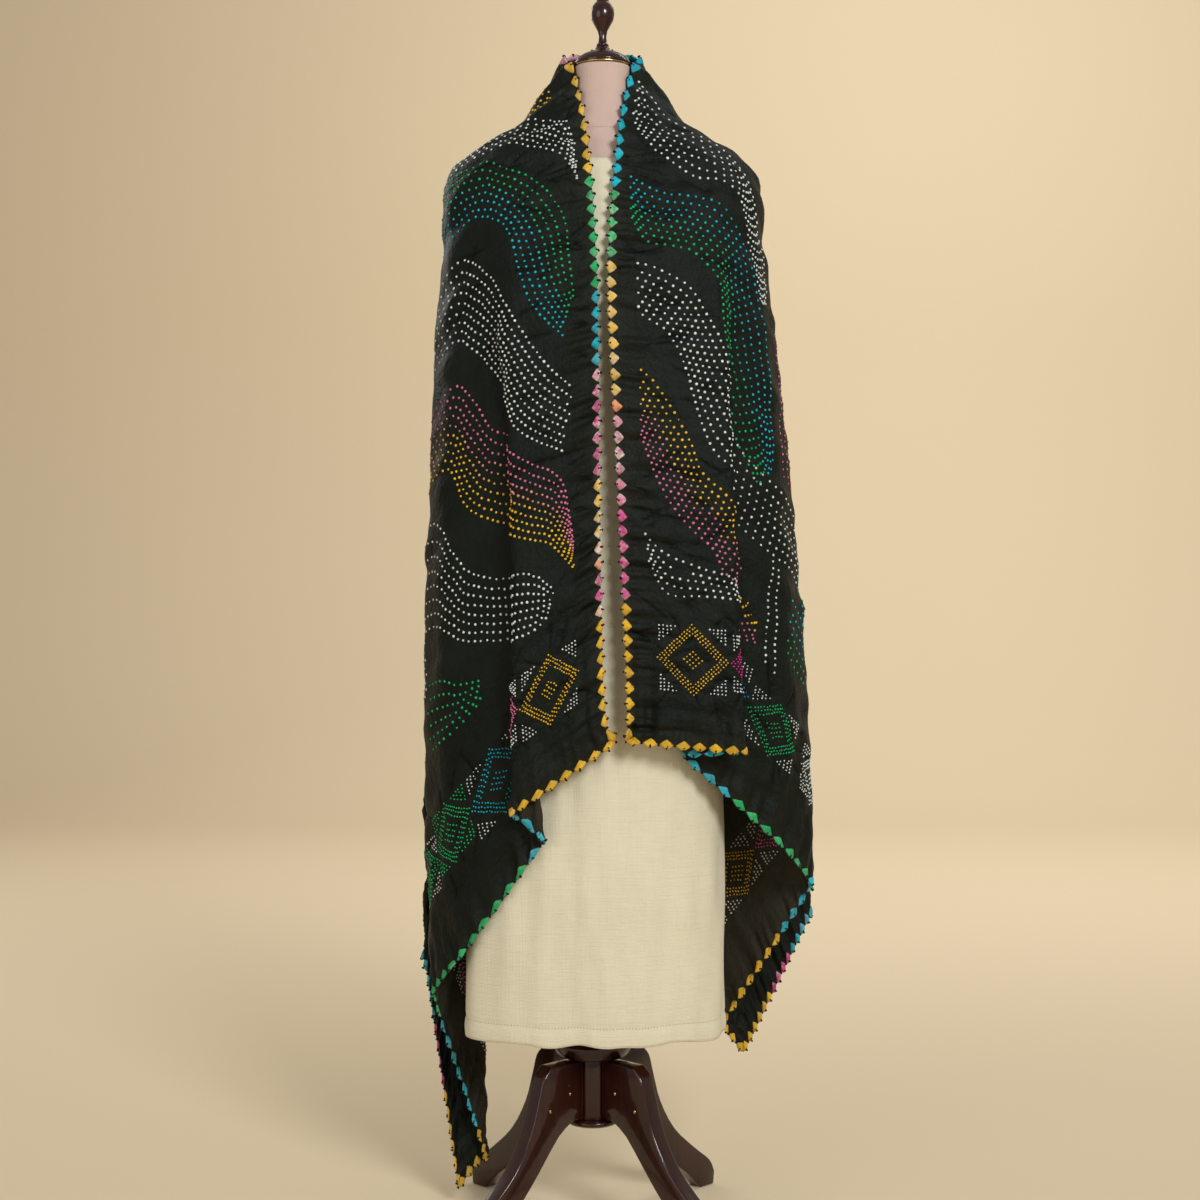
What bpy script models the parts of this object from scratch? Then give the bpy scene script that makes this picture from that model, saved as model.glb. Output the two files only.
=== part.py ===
"""Bandhani dupatta worn as a shawl on a cream slip over a dress form.

Frame: metres, +Z up, -Y is the front.  The stand's pole is modelled on the Z axis,
and everything moves sideways at the end so that the origin is the middle of the
model's footprint, on the floor.
"""
import math
from typing import NamedTuple

import bmesh
import bpy
import numpy as np
from mathutils import Matrix, Vector

# ---- stand -----------------------------------------------------------------
FLOOR_TO_HUB = 0.139          # underside of the hub that the legs join
HUB_RADIUS = 0.027
HUB_TOP = 0.2207
DISC_RADIUS = 0.0365
DISC_THICK = 0.0085
COLLAR_TOP = 0.2525
COLLAR_RADIUS = 0.053
POLE_RADIUS = 0.016
LEG_COUNT = 4
LEG_THICK = 0.023
LEG_START = 0.0278            # inner end of a leg, from the pole's axis
FOOT_HEEL = 0.203             # flat sole, from the pole's axis
FOOT_TOE = 0.230
TOUCH = 0.0003                # gap between pieces that meet

# ---- dress form --------------------------------------------------------------
FORM_BASE = 0.80
NECK_TOP = 1.5305
NECK_RADIUS = 0.037
NECK_LEAN = 0.0130            # the form leans this far sideways at the neck's top
LEAN_FOOT = 0.25              # height at which the lean starts
ROUNDNESS = 2.3               # superellipse power of the body sections
FORM_SEGMENTS = 36

# ---- slip ----------------------------------------------------------------------
SLIP_WALL = 0.0025
SLIP_HEM = 0.252
SLIP_NECKLINE = 1.395         # at the front and back
SLIP_NECK_RISE = 0.045        # how much higher it is on the shoulders
SLIP_SEGMENTS = 36

# ---- dupatta -------------------------------------------------------------------
CLOTH_THICK = 0.002
FOLD_WIDTH = 0.012            # distance between the two layers at a fold
FOLD_REACH = 0.026            # length over which a layer bends into its fold
COLLAR_EDGE_RADIUS = 0.0420   # neck edge of the cloth, at the front
COLLAR_SIDE_RADIUS = 0.0580   # and at the side of the neck
COLLAR_FRONT_HEIGHT = 1.536
COLLAR_NAPE_HEIGHT = 1.569
CHEST_HEIGHT = 1.28
WAIST_HEIGHT = 0.97
LOW_HEIGHT = 0.74
LEVELS = (0.0, 0.07, 0.15, 0.25, 0.47, 0.64, 1.0)   # collar, yoke, tip, chest, waist, low, end
CLOTH_ROWS = 17
SAMPLES_PER_SPAN = 2
LEVEL_ONLY = np.array((1.0, 1.0, 0.0))


class Body(NamedTuple):
    """One level section of a body: half width, half depth, and how far back it sits."""

    height: float
    half_width: float
    half_depth: float
    back: float


FORM_SECTIONS = (
    Body(NECK_TOP, NECK_RADIUS, NECK_RADIUS, 0.000),
    Body(1.4850, 0.0375, 0.0375, 0.000),
    Body(1.4620, 0.0500, 0.0430, 0.000),
    Body(1.4450, 0.0850, 0.0520, 0.000),
    Body(1.4300, 0.1150, 0.0580, 0.000),
    Body(1.4150, 0.1420, 0.0620, 0.000),
    Body(1.4000, 0.1650, 0.0670, -0.001),
    Body(1.3750, 0.1765, 0.0740, -0.003),
    Body(1.3300, 0.1740, 0.0850, -0.006),
    Body(1.2500, 0.1580, 0.0990, -0.008),
    Body(1.1300, 0.1360, 0.0860, -0.004),
    Body(1.0300, 0.1240, 0.0800, 0.000),
    Body(0.9200, 0.1460, 0.0920, 0.002),
    Body(FORM_BASE, 0.1560, 0.0960, 0.002),
)

# The slip follows the form above the bust and hangs straight below it.
SLIP_HANG = (
    Body(1.2500, 0.1650, 0.1050, -0.008),
    Body(1.0300, 0.1520, 0.0990, -0.003),
    Body(0.8500, 0.1640, 0.1030, 0.000),
    Body(0.5500, 0.1690, 0.1050, 0.000),
    Body(SLIP_HEM, 0.1720, 0.1050, 0.000),
)
SLIP_EASE = 0.0045            # slip outside the form, over the shoulders
SLIP_LIFT = 0.0060            # and above it


class Shoulder(NamedTuple):
    """Where one rail of the cloth passes the neck and shoulder, outward from the neck."""

    kind: str                 # edge, fold, corner or wave
    turn: float               # degrees round the neck, 90 at the nape
    yoke_x: float
    yoke_y: float
    yoke_z: float
    tip_x: float
    tip_y: float
    tip_z: float
    chest_y: float
    waist_y: float
    low_y: float


class Hang(NamedTuple):
    """Where the same rail hangs below the shoulder, and where it ends."""

    chest_x: float
    waist_x: float
    low_x: float
    end_x: float
    end_y: float
    end_z: float


SHOULDER = {
    "front_edge": Shoulder("edge", -12, 0.026, -0.050, 1.462, 0.018, -0.088, 1.395, -0.122, -0.139, -0.141),
    "panel_fold": Shoulder("fold", 8, 0.070, -0.047, 1.453, 0.135, -0.075, 1.397, -0.110, -0.132, -0.135),
    "tuck_fold": Shoulder("fold", 20, 0.088, -0.032, 1.460, 0.172, -0.052, 1.392, -0.080, -0.114, -0.122),
    "side_turn": Shoulder("wave", 27, 0.098, -0.018, 1.463, 0.190, -0.030, 1.395, -0.050, -0.068, -0.074),
    "side_fold": Shoulder("fold", 32, 0.104, -0.004, 1.462, 0.197, -0.004, 1.397, 0.000, 0.005, 0.005),
    "under_fold": Shoulder("fold", 42, 0.100, 0.016, 1.465, 0.193, 0.030, 1.398, 0.055, 0.112, 0.120),
    "corner": Shoulder("corner", 50, 0.092, 0.028, 1.468, 0.182, 0.047, 1.401, 0.075, 0.122, 0.132),
    "rear_fold": Shoulder("fold", 58, 0.080, 0.040, 1.472, 0.160, 0.060, 1.402, 0.095, 0.135, 0.150),
    "back_wave": Shoulder("wave", 68, 0.060, 0.050, 1.478, 0.125, 0.075, 1.406, 0.120, 0.185, 0.205),
    "back_dip": Shoulder("wave", 76, 0.040, 0.056, 1.482, 0.085, 0.082, 1.410, 0.116, 0.130, 0.135),
    "back_rib": Shoulder("wave", 83, 0.020, 0.060, 1.486, 0.045, 0.088, 1.414, 0.126, 0.178, 0.195),
}
MIDDLE_BACK = Shoulder("wave", 90, 0.0, 0.062, 1.488, 0.0, 0.090, 1.416, 0.120, 0.130, 0.138)
MIDDLE_BACK_HANG = Hang(0.011, 0.006, 0.003, 0.000, 0.140, 0.620)

RIGHT_HANG = {
    "front_edge": Hang(0.0215, 0.033, 0.043, 0.0415, -0.138, 0.645),
    "panel_fold": Hang(0.158, 0.178, 0.188, 0.192, -0.132, 0.632),
    "tuck_fold": Hang(0.186, 0.158, 0.130, 0.115, -0.119, 0.627),
    "side_turn": Hang(0.214, 0.240, 0.252, 0.245, -0.060, 0.508),
    "side_fold": Hang(0.229, 0.264, 0.282, 0.294, -0.002, 0.446),
    "under_fold": Hang(0.205, 0.165, 0.145, 0.177, 0.100, 0.235),
    "corner": Hang(0.195, 0.215, 0.222, 0.210, 0.120, 0.193),
    "rear_fold": Hang(0.180, 0.240, 0.272, 0.303, 0.135, 0.380),
    "back_wave": Hang(0.155, 0.190, 0.200, 0.205, 0.205, 0.470),
    "back_dip": Hang(0.108, 0.128, 0.132, 0.135, 0.135, 0.530),
    "back_rib": Hang(0.058, 0.066, 0.068, 0.068, 0.195, 0.585),
}

LEFT_HANG = {
    "front_edge": Hang(0.0033, 0.0084, 0.0125, 0.030, -0.138, 0.645),
    "panel_fold": Hang(-0.112, -0.103, -0.1024, -0.1024, -0.131, 0.554),
    "tuck_fold": Hang(-0.150, -0.098, -0.075, -0.060, -0.118, 0.519),
    "side_turn": Hang(-0.184, -0.190, -0.190, -0.172, -0.070, 0.360),
    "side_fold": Hang(-0.2004, -0.2177, -0.2243, -0.215, 0.002, 0.301),
    "under_fold": Hang(-0.186, -0.165, -0.155, -0.148, 0.075, 0.058),
    "corner": Hang(-0.176, -0.200, -0.206, -0.183, 0.062, 0.022),
    "rear_fold": Hang(-0.155, -0.205, -0.224, -0.233, 0.095, 0.330),
    "back_wave": Hang(-0.130, -0.175, -0.185, -0.190, 0.190, 0.440),
    "back_dip": Hang(-0.085, -0.118, -0.125, -0.125, 0.130, 0.515),
    "back_rib": Hang(-0.035, -0.055, -0.060, -0.060, 0.190, 0.575),
}


def clear_scene() -> None:
    """Remove whatever objects the file already has."""
    for obj in list(bpy.data.objects):
        bpy.data.objects.remove(obj, do_unlink=True)


def material(name, colour, roughness, metallic=0.0):
    """A Principled material with one colour, roughness and metallic value."""
    mat = bpy.data.materials.new(name)
    mat.use_nodes = True
    shader = mat.node_tree.nodes["Principled BSDF"]
    shader.inputs["Base Color"].default_value = (*colour, 1.0)
    shader.inputs["Roughness"].default_value = roughness
    shader.inputs["Metallic"].default_value = metallic
    return mat


def new_object(name, bm, mat, smooth_angle=40.0):
    """Turn a bmesh into a named object, smooth except at sharp edges."""
    bmesh.ops.recalc_face_normals(bm, faces=bm.faces)
    mesh = bpy.data.meshes.new(name)
    bm.to_mesh(mesh)
    bm.free()
    mesh.shade_smooth()
    mesh.set_sharp_from_angle(angle=math.radians(smooth_angle))
    mesh.materials.append(mat)
    obj = bpy.data.objects.new(name, mesh)
    bpy.context.scene.collection.objects.link(obj)
    return obj


def lean(height):
    """Sideways place of the form's middle at a height."""
    return NECK_LEAN * (height - LEAN_FOOT) / (NECK_TOP - LEAN_FOOT)


def smooth_through(places, values, at):
    """A smooth curve through values at the given places, read at one place."""
    values = np.asarray(values, dtype=float)
    places = np.asarray(places, dtype=float)
    steps = np.diff(values, axis=0) / np.diff(places)[:, None]
    slopes = np.empty_like(values)
    slopes[0] = steps[0]
    slopes[-1] = steps[-1]
    before = np.diff(places)[:-1, None]
    after = np.diff(places)[1:, None]
    slopes[1:-1] = (steps[:-1] * after + steps[1:] * before) / (before + after)
    span = int(np.clip(np.searchsorted(places, at) - 1, 0, len(places) - 2))
    width = places[span + 1] - places[span]
    u = (at - places[span]) / width
    rise = u * u * (3 - 2 * u)
    start = u * (1 - u) ** 2 * width
    stop = u * u * (u - 1) * width
    level = values[span] * (1 - rise) + values[span + 1] * rise
    return level + slopes[span] * start + slopes[span + 1] * stop


def spin_profile(name, profile, mat, segments=48, place_x=0.0):
    """Turn a closed (radius, height) profile, which starts and ends on the axis."""
    bm = bmesh.new()
    outline = [bm.verts.new((radius, 0.0, height)) for radius, height in profile]
    edges = [bm.edges.new(pair) for pair in zip(outline, outline[1:])]
    bmesh.ops.spin(bm, geom=outline + edges, cent=(0, 0, 0), axis=(0, 0, 1),
                   angle=2 * math.pi, steps=segments, use_merge=True)
    bmesh.ops.remove_doubles(bm, verts=bm.verts, dist=1e-6)
    obj = new_object(name, bm, mat)
    obj.location.x = place_x
    return obj


# ---- stand ------------------------------------------------------------------------
def leg_outline():
    """Side outline of a cabriole leg: (distance from the pole, height)."""
    shoulder_top = HUB_TOP - 0.0015
    upper_rows = [(0.085, shoulder_top), (0.0985, 0.205), (0.107, 0.178), (0.121, 0.138),
                  (0.149, 0.095), (0.190, 0.060), (0.222, 0.036), (0.232, 0.018)]
    lower_rows = [(FOOT_HEEL, 0.0), (0.176, 0.026), (0.140, 0.052), (0.104, 0.090),
                  (0.072, 0.126), (0.048, 0.141)]
    upper = [smooth_through(range(len(upper_rows)), upper_rows, step / 3)
             for step in range(3 * (len(upper_rows) - 1) + 1)]
    lower = [smooth_through(range(len(lower_rows)), lower_rows, step / 2)
             for step in range(2 * (len(lower_rows) - 1) + 1)]
    inner = [(LEG_START, FLOOR_TO_HUB + 0.002), (LEG_START, shoulder_top)]
    return [tuple(p) for p in upper] + [(FOOT_TOE, 0.0)] + [tuple(p) for p in lower] + inner


def build_leg(number, mat):
    """One plank leg, standing away from the pole on a diagonal."""
    bm = bmesh.new()
    side = [bm.verts.new((r, -LEG_THICK / 2, z)) for r, z in leg_outline()]
    face = bm.faces.new(side)
    grown = bmesh.ops.extrude_face_region(bm, geom=[face])
    moved = [v for v in grown["geom"] if isinstance(v, bmesh.types.BMVert)]
    bmesh.ops.translate(bm, verts=moved, vec=(0, LEG_THICK, 0))
    obj = new_object(f"leg_{number}", bm, mat, smooth_angle=30.0)
    turn = math.radians(45 + 90 * (number - 1))
    obj.matrix_world = Matrix.Rotation(turn, 4, "Z")
    return obj


def build_stand(mahogany):
    """Pole, collar, hub, base disc and the four legs."""
    top = HUB_TOP + TOUCH
    collar = [(0.0, top), (0.046, top), (0.0495, top + 0.004), (COLLAR_RADIUS, top + 0.013),
              (COLLAR_RADIUS, top + 0.017), (0.048, top + 0.022), (0.0405, COLLAR_TOP - 0.002),
              (0.0385, COLLAR_TOP), (0.0, COLLAR_TOP)]
    spin_profile("collar", collar, mahogany)
    hub = [(0.0, FLOOR_TO_HUB), (HUB_RADIUS, FLOOR_TO_HUB), (HUB_RADIUS, HUB_TOP), (0.0, HUB_TOP)]
    spin_profile("hub", hub, mahogany)
    low = FLOOR_TO_HUB - TOUCH
    disc = [(0.0, low - DISC_THICK), (DISC_RADIUS - 0.004, low - DISC_THICK),
            (DISC_RADIUS, low - DISC_THICK + 0.003), (DISC_RADIUS, low - 0.002),
            (DISC_RADIUS - 0.002, low), (0.0, low)]
    spin_profile("base_disc", disc, mahogany)
    pole = [(0.0, COLLAR_TOP + TOUCH), (POLE_RADIUS, COLLAR_TOP + TOUCH),
            (POLE_RADIUS, FORM_BASE - TOUCH), (0.0, FORM_BASE - TOUCH)]
    spin_profile("pole", pole, mahogany, segments=24)
    for number in range(1, LEG_COUNT + 1):
        build_leg(number, mahogany)


# ---- form and slip ---------------------------------------------------------------------
def section_at(sections, height):
    """Half width, half depth and set-back of a body at a height."""
    ordered = sorted(sections)
    heights = [row.height for row in ordered]
    sizes = [row[1:] for row in ordered]
    return smooth_through(heights, sizes, height)


def body_point(size, angle, height, ease=0.0):
    """A point on a body's level section; angle 0 is at its right side."""
    half_width, half_depth, back = size
    power = 2.0 / ROUNDNESS
    cos, sin = math.cos(angle), math.sin(angle)
    x = (half_width + ease) * math.copysign(abs(cos) ** power, cos)
    y = (half_depth + ease) * math.copysign(abs(sin) ** power, sin)
    return Vector((x + lean(height), y + back, height))


def bridge_grid(bm, rings):
    """Join a list of closed rings of points with quads; returns the rings' verts."""
    made = [[bm.verts.new(point) for point in ring] for ring in rings]
    for low, high in zip(made, made[1:]):
        for i, vert in enumerate(low):
            j = (i + 1) % len(low)
            bm.faces.new((vert, low[j], high[j], high[i]))
    return made


def build_form(linen):
    """The stuffed torso and neck, closed flat at the neck and at the base."""
    heights = [FORM_BASE, 0.86, 0.92, 0.98, 1.03, 1.08, 1.14, 1.20, 1.25, 1.30, 1.34, 1.375,
               1.39, 1.40, 1.415, 1.43, 1.445, 1.4535, 1.462, 1.472, 1.485, 1.51, NECK_TOP]
    angles = [2 * math.pi * i / FORM_SEGMENTS for i in range(FORM_SEGMENTS)]
    bm = bmesh.new()
    rings = [[body_point(section_at(FORM_SECTIONS, z), a, z) for a in angles] for z in heights]
    made = bridge_grid(bm, rings)
    bm.faces.new(made[0])
    bm.faces.new(made[-1])
    return new_object("form", bm, linen)


def slip_size(height):
    """Section of the slip: on the form's shoulders, then hanging free."""
    if height >= SLIP_HANG[0].height:
        blend = min(1.0, (height - SLIP_HANG[0].height) / 0.08)
        half_width, half_depth, back = section_at(FORM_SECTIONS, height - SLIP_LIFT * blend)
        ease = SLIP_EASE + (0.007 - SLIP_EASE) * (1 - blend)
        return half_width + ease, half_depth + ease, back
    return section_at(SLIP_HANG, height)


def slip_wave(angle, height):
    """Soft vertical wrinkles that grow towards the hem."""
    drop = max(0.0, (1.0 - height) / (1.0 - SLIP_HEM))
    return drop * (0.0025 * math.cos(5 * angle + 0.6) + 0.0018 * math.cos(9 * angle - 1.1))


def build_slip(cream):
    """A plain sleeveless slip: one thin wall, open at the neck and at the hem."""
    angles = [2 * math.pi * i / SLIP_SEGMENTS for i in range(SLIP_SEGMENTS)]
    levels = [0.0, 0.2, 0.4, 0.65, 1.0]
    hang = [1.20, 1.12, 1.03, 0.90, 0.70, 0.50, 0.36, SLIP_HEM]

    def ring(height_of, ease):
        """One ring of the wall, whose height may change round the body."""
        points = []
        for angle in angles:
            height = height_of(angle)
            size = slip_size(height)
            points.append(body_point(size, angle, height, ease + slip_wave(angle, height)))
        return points

    def yoke_height(level):
        """Height rule of a ring between the neckline and the bust."""
        return lambda a: (SLIP_NECKLINE + SLIP_NECK_RISE * math.cos(a) ** 2) * (1 - level) + 1.28 * level

    rules = [yoke_height(level) for level in levels] + [lambda a, z=z: z for z in hang]
    bm = bmesh.new()
    outer = bridge_grid(bm, [ring(rule, 0.0) for rule in rules])
    inner = bridge_grid(bm, [ring(rule, -SLIP_WALL) for rule in rules])
    for wall_out, wall_in in ((outer[0], inner[0]), (outer[-1], inner[-1])):
        for i, vert in enumerate(wall_out):
            j = (i + 1) % len(wall_out)
            bm.faces.new((vert, wall_out[j], wall_in[j], wall_in[i]))
    return new_object("slip", bm, cream)


def build_neck_cap(mahogany, brass):
    """Turned cap with its brass rim, and the finial on top of it."""
    rim_low = NECK_TOP + TOUCH
    rim = [(0.0, rim_low), (0.0365, rim_low), (0.0385, rim_low + 0.0008),
           (0.0385, rim_low + 0.0020), (0.0, rim_low + 0.0020)]
    spin_profile("cap_rim", rim, brass, place_x=NECK_LEAN)
    low = rim_low + 0.0020 + TOUCH
    cap = [(0.0, low), (0.0375, low), (0.0380, low + 0.003), (0.0350, low + 0.009),
           (0.0270, low + 0.0145), (0.0175, low + 0.0180), (0.0110, low + 0.0215),
           (0.0085, low + 0.0260), (0.0, low + 0.0260)]
    spin_profile("neck_cap", cap, mahogany, place_x=NECK_LEAN)
    foot = low + 0.0260 + TOUCH
    finial = [(0.0, foot), (0.0080, foot), (0.0085, foot + 0.002), (0.0060, foot + 0.005),
              (0.0052, foot + 0.013), (0.0066, foot + 0.021), (0.0105, foot + 0.028),
              (0.0145, foot + 0.035), (0.0160, foot + 0.043), (0.0150, foot + 0.051),
              (0.0110, foot + 0.057), (0.0080, foot + 0.060), (0.0088, foot + 0.063),
              (0.0070, foot + 0.068), (0.0035, foot + 0.071), (0.0, foot + 0.072)]
    spin_profile("finial", finial, mahogany, segments=32, place_x=NECK_LEAN)


# ---- dupatta ---------------------------------------------------------------------------
def collar_point(turn, side):
    """Neck edge of the cloth: it opens out from the throat and stands at the nape."""
    round_side = np.clip((turn + 12) / 47, 0.0, 1.0)
    ease = round_side * round_side * (3 - 2 * round_side)
    radius = COLLAR_EDGE_RADIUS + (COLLAR_SIDE_RADIUS - COLLAR_EDGE_RADIUS) * ease
    rise = np.clip((turn + 12) / 90, 0.0, 1.0)
    height = COLLAR_FRONT_HEIGHT + (COLLAR_NAPE_HEIGHT - COLLAR_FRONT_HEIGHT) * rise
    angle = math.radians(turn)
    return (NECK_LEAN + side * radius * math.cos(angle), radius * math.sin(angle), height)


def rail_levels(shoulder, hang, side):
    """The points of one rail, from the neck edge down to the hem or long edge."""
    return [
        collar_point(shoulder.turn, side),
        (NECK_LEAN + side * shoulder.yoke_x, shoulder.yoke_y, shoulder.yoke_z),
        (NECK_LEAN + side * shoulder.tip_x, shoulder.tip_y, shoulder.tip_z),
        (hang.chest_x, shoulder.chest_y, CHEST_HEIGHT),
        (hang.waist_x, shoulder.waist_y, WAIST_HEIGHT),
        (hang.low_x, shoulder.low_y, LOW_HEIGHT),
        (hang.end_x, hang.end_y, hang.end_z),
    ]


def all_rails():
    """Every rail from the left front edge, round the back, to the right front edge."""
    left = [(row.kind, rail_levels(row, LEFT_HANG[name], -1)) for name, row in SHOULDER.items()]
    right = [(row.kind, rail_levels(row, RIGHT_HANG[name], 1)) for name, row in SHOULDER.items()]
    middle = [(MIDDLE_BACK.kind, rail_levels(MIDDLE_BACK, MIDDLE_BACK_HANG, 1))]
    return left + middle + right[::-1]


def unit(vector):
    """The vector at length one."""
    return vector / max(np.linalg.norm(vector), 1e-9)


def section_controls(kinds, tips):
    """Control points of one section: a fold gets a round nose, a corner stays sharp."""
    controls = []
    for i, (kind, tip) in enumerate(zip(kinds, tips)):
        if kind in ("edge", "wave"):
            controls.append(tip)
        elif kind == "corner":
            controls += [tip, tip]
        else:
            before, after = tip - tips[i - 1], tips[i + 1] - tip
            nearest = min(np.linalg.norm(before), np.linalg.norm(after))
            half = min(FOLD_WIDTH / 2, nearest * 0.15)
            reach = min(FOLD_REACH, nearest * 0.35)
            across = unit(unit(before * LEVEL_ONLY) + unit(after * LEVEL_ONLY)) * half
            controls += [tip - across - unit(before) * reach, tip - across,
                         tip + across, tip + across + unit(after) * reach]
    return np.array(controls)


def read_section(controls, samples):
    """Points along the smooth curve that the controls pull into shape."""
    middles = (controls[:-1] + controls[1:]) / 2
    middles[0], middles[-1] = controls[0], controls[-1]
    points = []
    for start, pull, stop in zip(middles, controls[1:-1], middles[1:]):
        for step in range(samples):
            u = step / samples
            points.append(start * (1 - u) ** 2 + 2 * pull * u * (1 - u) + stop * u * u)
    points.append(middles[-1])
    return points


def cloth_grid(rows, samples):
    """The middle surface of the cloth as rows of points, neck edge first."""
    rails = all_rails()
    kinds = [kind for kind, _ in rails]
    grid = []
    for row in range(rows + 1):
        at = row / rows
        tips = [smooth_through(LEVELS, levels, at) for _, levels in rails]
        grid.append(read_section(section_controls(kinds, tips), samples))
    return np.array(grid)


def grid_normals(grid):
    """Unit normals of a grid of points."""
    along = np.gradient(grid, axis=0)
    across = np.gradient(grid, axis=1)
    normals = np.cross(across, along)
    return normals / np.maximum(np.linalg.norm(normals, axis=2, keepdims=True), 1e-9)


def build_cloth(silk):
    """The dupatta: one sheet of even thickness on its folds."""
    grid = cloth_grid(CLOTH_ROWS, SAMPLES_PER_SPAN)
    offset = grid_normals(grid) * CLOTH_THICK / 2
    bm = bmesh.new()
    front = [[bm.verts.new(point) for point in row] for row in grid + offset]
    back = [[bm.verts.new(point) for point in row] for row in grid - offset]
    rows, columns = len(front), len(front[0])
    for r in range(rows - 1):
        for c in range(columns - 1):
            bm.faces.new((front[r][c], front[r][c + 1], front[r + 1][c + 1], front[r + 1][c]))
            bm.faces.new((back[r][c], back[r + 1][c], back[r + 1][c + 1], back[r][c + 1]))
    border = [(0, c) for c in range(columns)] + [(r, columns - 1) for r in range(1, rows)]
    border += [(rows - 1, c) for c in range(columns - 2, -1, -1)] + [(r, 0) for r in range(rows - 2, 0, -1)]
    for (r0, c0), (r1, c1) in zip(border, border[1:] + border[:1]):
        bm.faces.new((front[r0][c0], back[r0][c0], back[r1][c1], front[r1][c1]))
    return new_object("bandhani_cloth", bm, silk, smooth_angle=60.0)


def centre_footprint():
    """Move everything so that the origin is the middle of the footprint."""
    bpy.context.view_layer.update()
    objects = [obj for obj in bpy.data.objects if obj.type == "MESH"]
    corners = np.array([obj.matrix_world @ vert.co for obj in objects for vert in obj.data.vertices])
    middle = (corners.min(axis=0) + corners.max(axis=0)) / 2
    for obj in objects:
        obj.matrix_world = Matrix.Translation((-middle[0], -middle[1], 0.0)) @ obj.matrix_world


def main():
    """Build the whole part."""
    clear_scene()
    silk = material("bandhani_silk", (0.020, 0.026, 0.020), 0.45)
    cream = material("cream_cotton", (0.73, 0.65, 0.43), 0.85)
    linen = material("form_linen", (0.60, 0.46, 0.40), 0.85)
    mahogany = material("mahogany", (0.050, 0.010, 0.008), 0.20)
    brass = material("brass", (0.72, 0.52, 0.22), 0.30, 1.0)
    build_stand(mahogany)
    build_form(linen)
    build_slip(cream)
    build_neck_cap(mahogany, brass)
    build_cloth(silk)
    centre_footprint()


main()
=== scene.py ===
"""Looks of a bandhani dupatta worn as a shawl over a cream slip on a dress form.

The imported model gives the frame.  The dupatta, slip, neck and stand are dressed here:
the dupatta is one thin gathered sheet on its solid's folds, with tied dots and a row of
coloured lozenges along every edge.
"""
import logging
import math
from dataclasses import dataclass, field
from enum import Enum
from typing import NamedTuple, Sequence

import bmesh
import bpy
import numpy as np
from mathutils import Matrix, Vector
from mathutils.bvhtree import BVHTree
from mathutils.kdtree import KDTree


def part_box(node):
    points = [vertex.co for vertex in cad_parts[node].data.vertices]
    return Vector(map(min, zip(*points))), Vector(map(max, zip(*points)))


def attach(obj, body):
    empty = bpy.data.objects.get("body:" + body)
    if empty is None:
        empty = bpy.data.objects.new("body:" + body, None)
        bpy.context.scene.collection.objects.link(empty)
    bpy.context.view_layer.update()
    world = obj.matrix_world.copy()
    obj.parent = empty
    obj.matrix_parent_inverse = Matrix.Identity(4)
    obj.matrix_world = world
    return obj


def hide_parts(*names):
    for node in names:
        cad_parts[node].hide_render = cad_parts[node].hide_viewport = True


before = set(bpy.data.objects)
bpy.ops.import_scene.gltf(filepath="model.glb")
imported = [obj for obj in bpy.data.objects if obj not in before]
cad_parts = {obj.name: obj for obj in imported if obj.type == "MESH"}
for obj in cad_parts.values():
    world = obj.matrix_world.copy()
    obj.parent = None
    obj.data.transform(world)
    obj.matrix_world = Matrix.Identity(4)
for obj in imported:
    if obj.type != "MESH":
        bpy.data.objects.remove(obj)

LOG = logging.getLogger("dupatta")
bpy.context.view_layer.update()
BODY = "root"
Colour = tuple[float, float, float]


def middle_of(node: str) -> Vector:
    """The middle of a CAD node's box.

    Args:
        node: Name of the node.

    Returns:
        The middle point, in metres.
    """
    low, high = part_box(node)
    return (Vector(low) + Vector(high)) / 2


AXIS = middle_of("hub")                  # the pole's axis, on the floor plan
NECK_LEAN = middle_of("cap_rim").x - AXIS.x


# ---- drape ---------------------------------------------------------------------------
class Rail(NamedTuple):
    """Where one rail of the cloth passes the neck and shoulder, outward from the neck."""

    kind: str
    turn: float
    yoke_x: float
    yoke_y: float
    yoke_z: float
    tip_x: float
    tip_y: float
    tip_z: float
    chest_y: float
    waist_y: float
    low_y: float
    cut_collar: float        # place along the cloth at the neck edge
    cut_tip_a: float         # place along the cloth at the shoulder
    cut_tip_b: float         # place across the cloth at the shoulder
    cut_end_a: float         # the same two where the rail ends
    cut_end_b: float


class Hang(NamedTuple):
    """Where the same rail hangs below the shoulder, and where it ends."""

    chest_x: float
    waist_x: float
    low_x: float
    end_x: float
    end_y: float
    end_z: float


HALF_LENGTH = 1.25
WIDTH = 0.95

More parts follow.
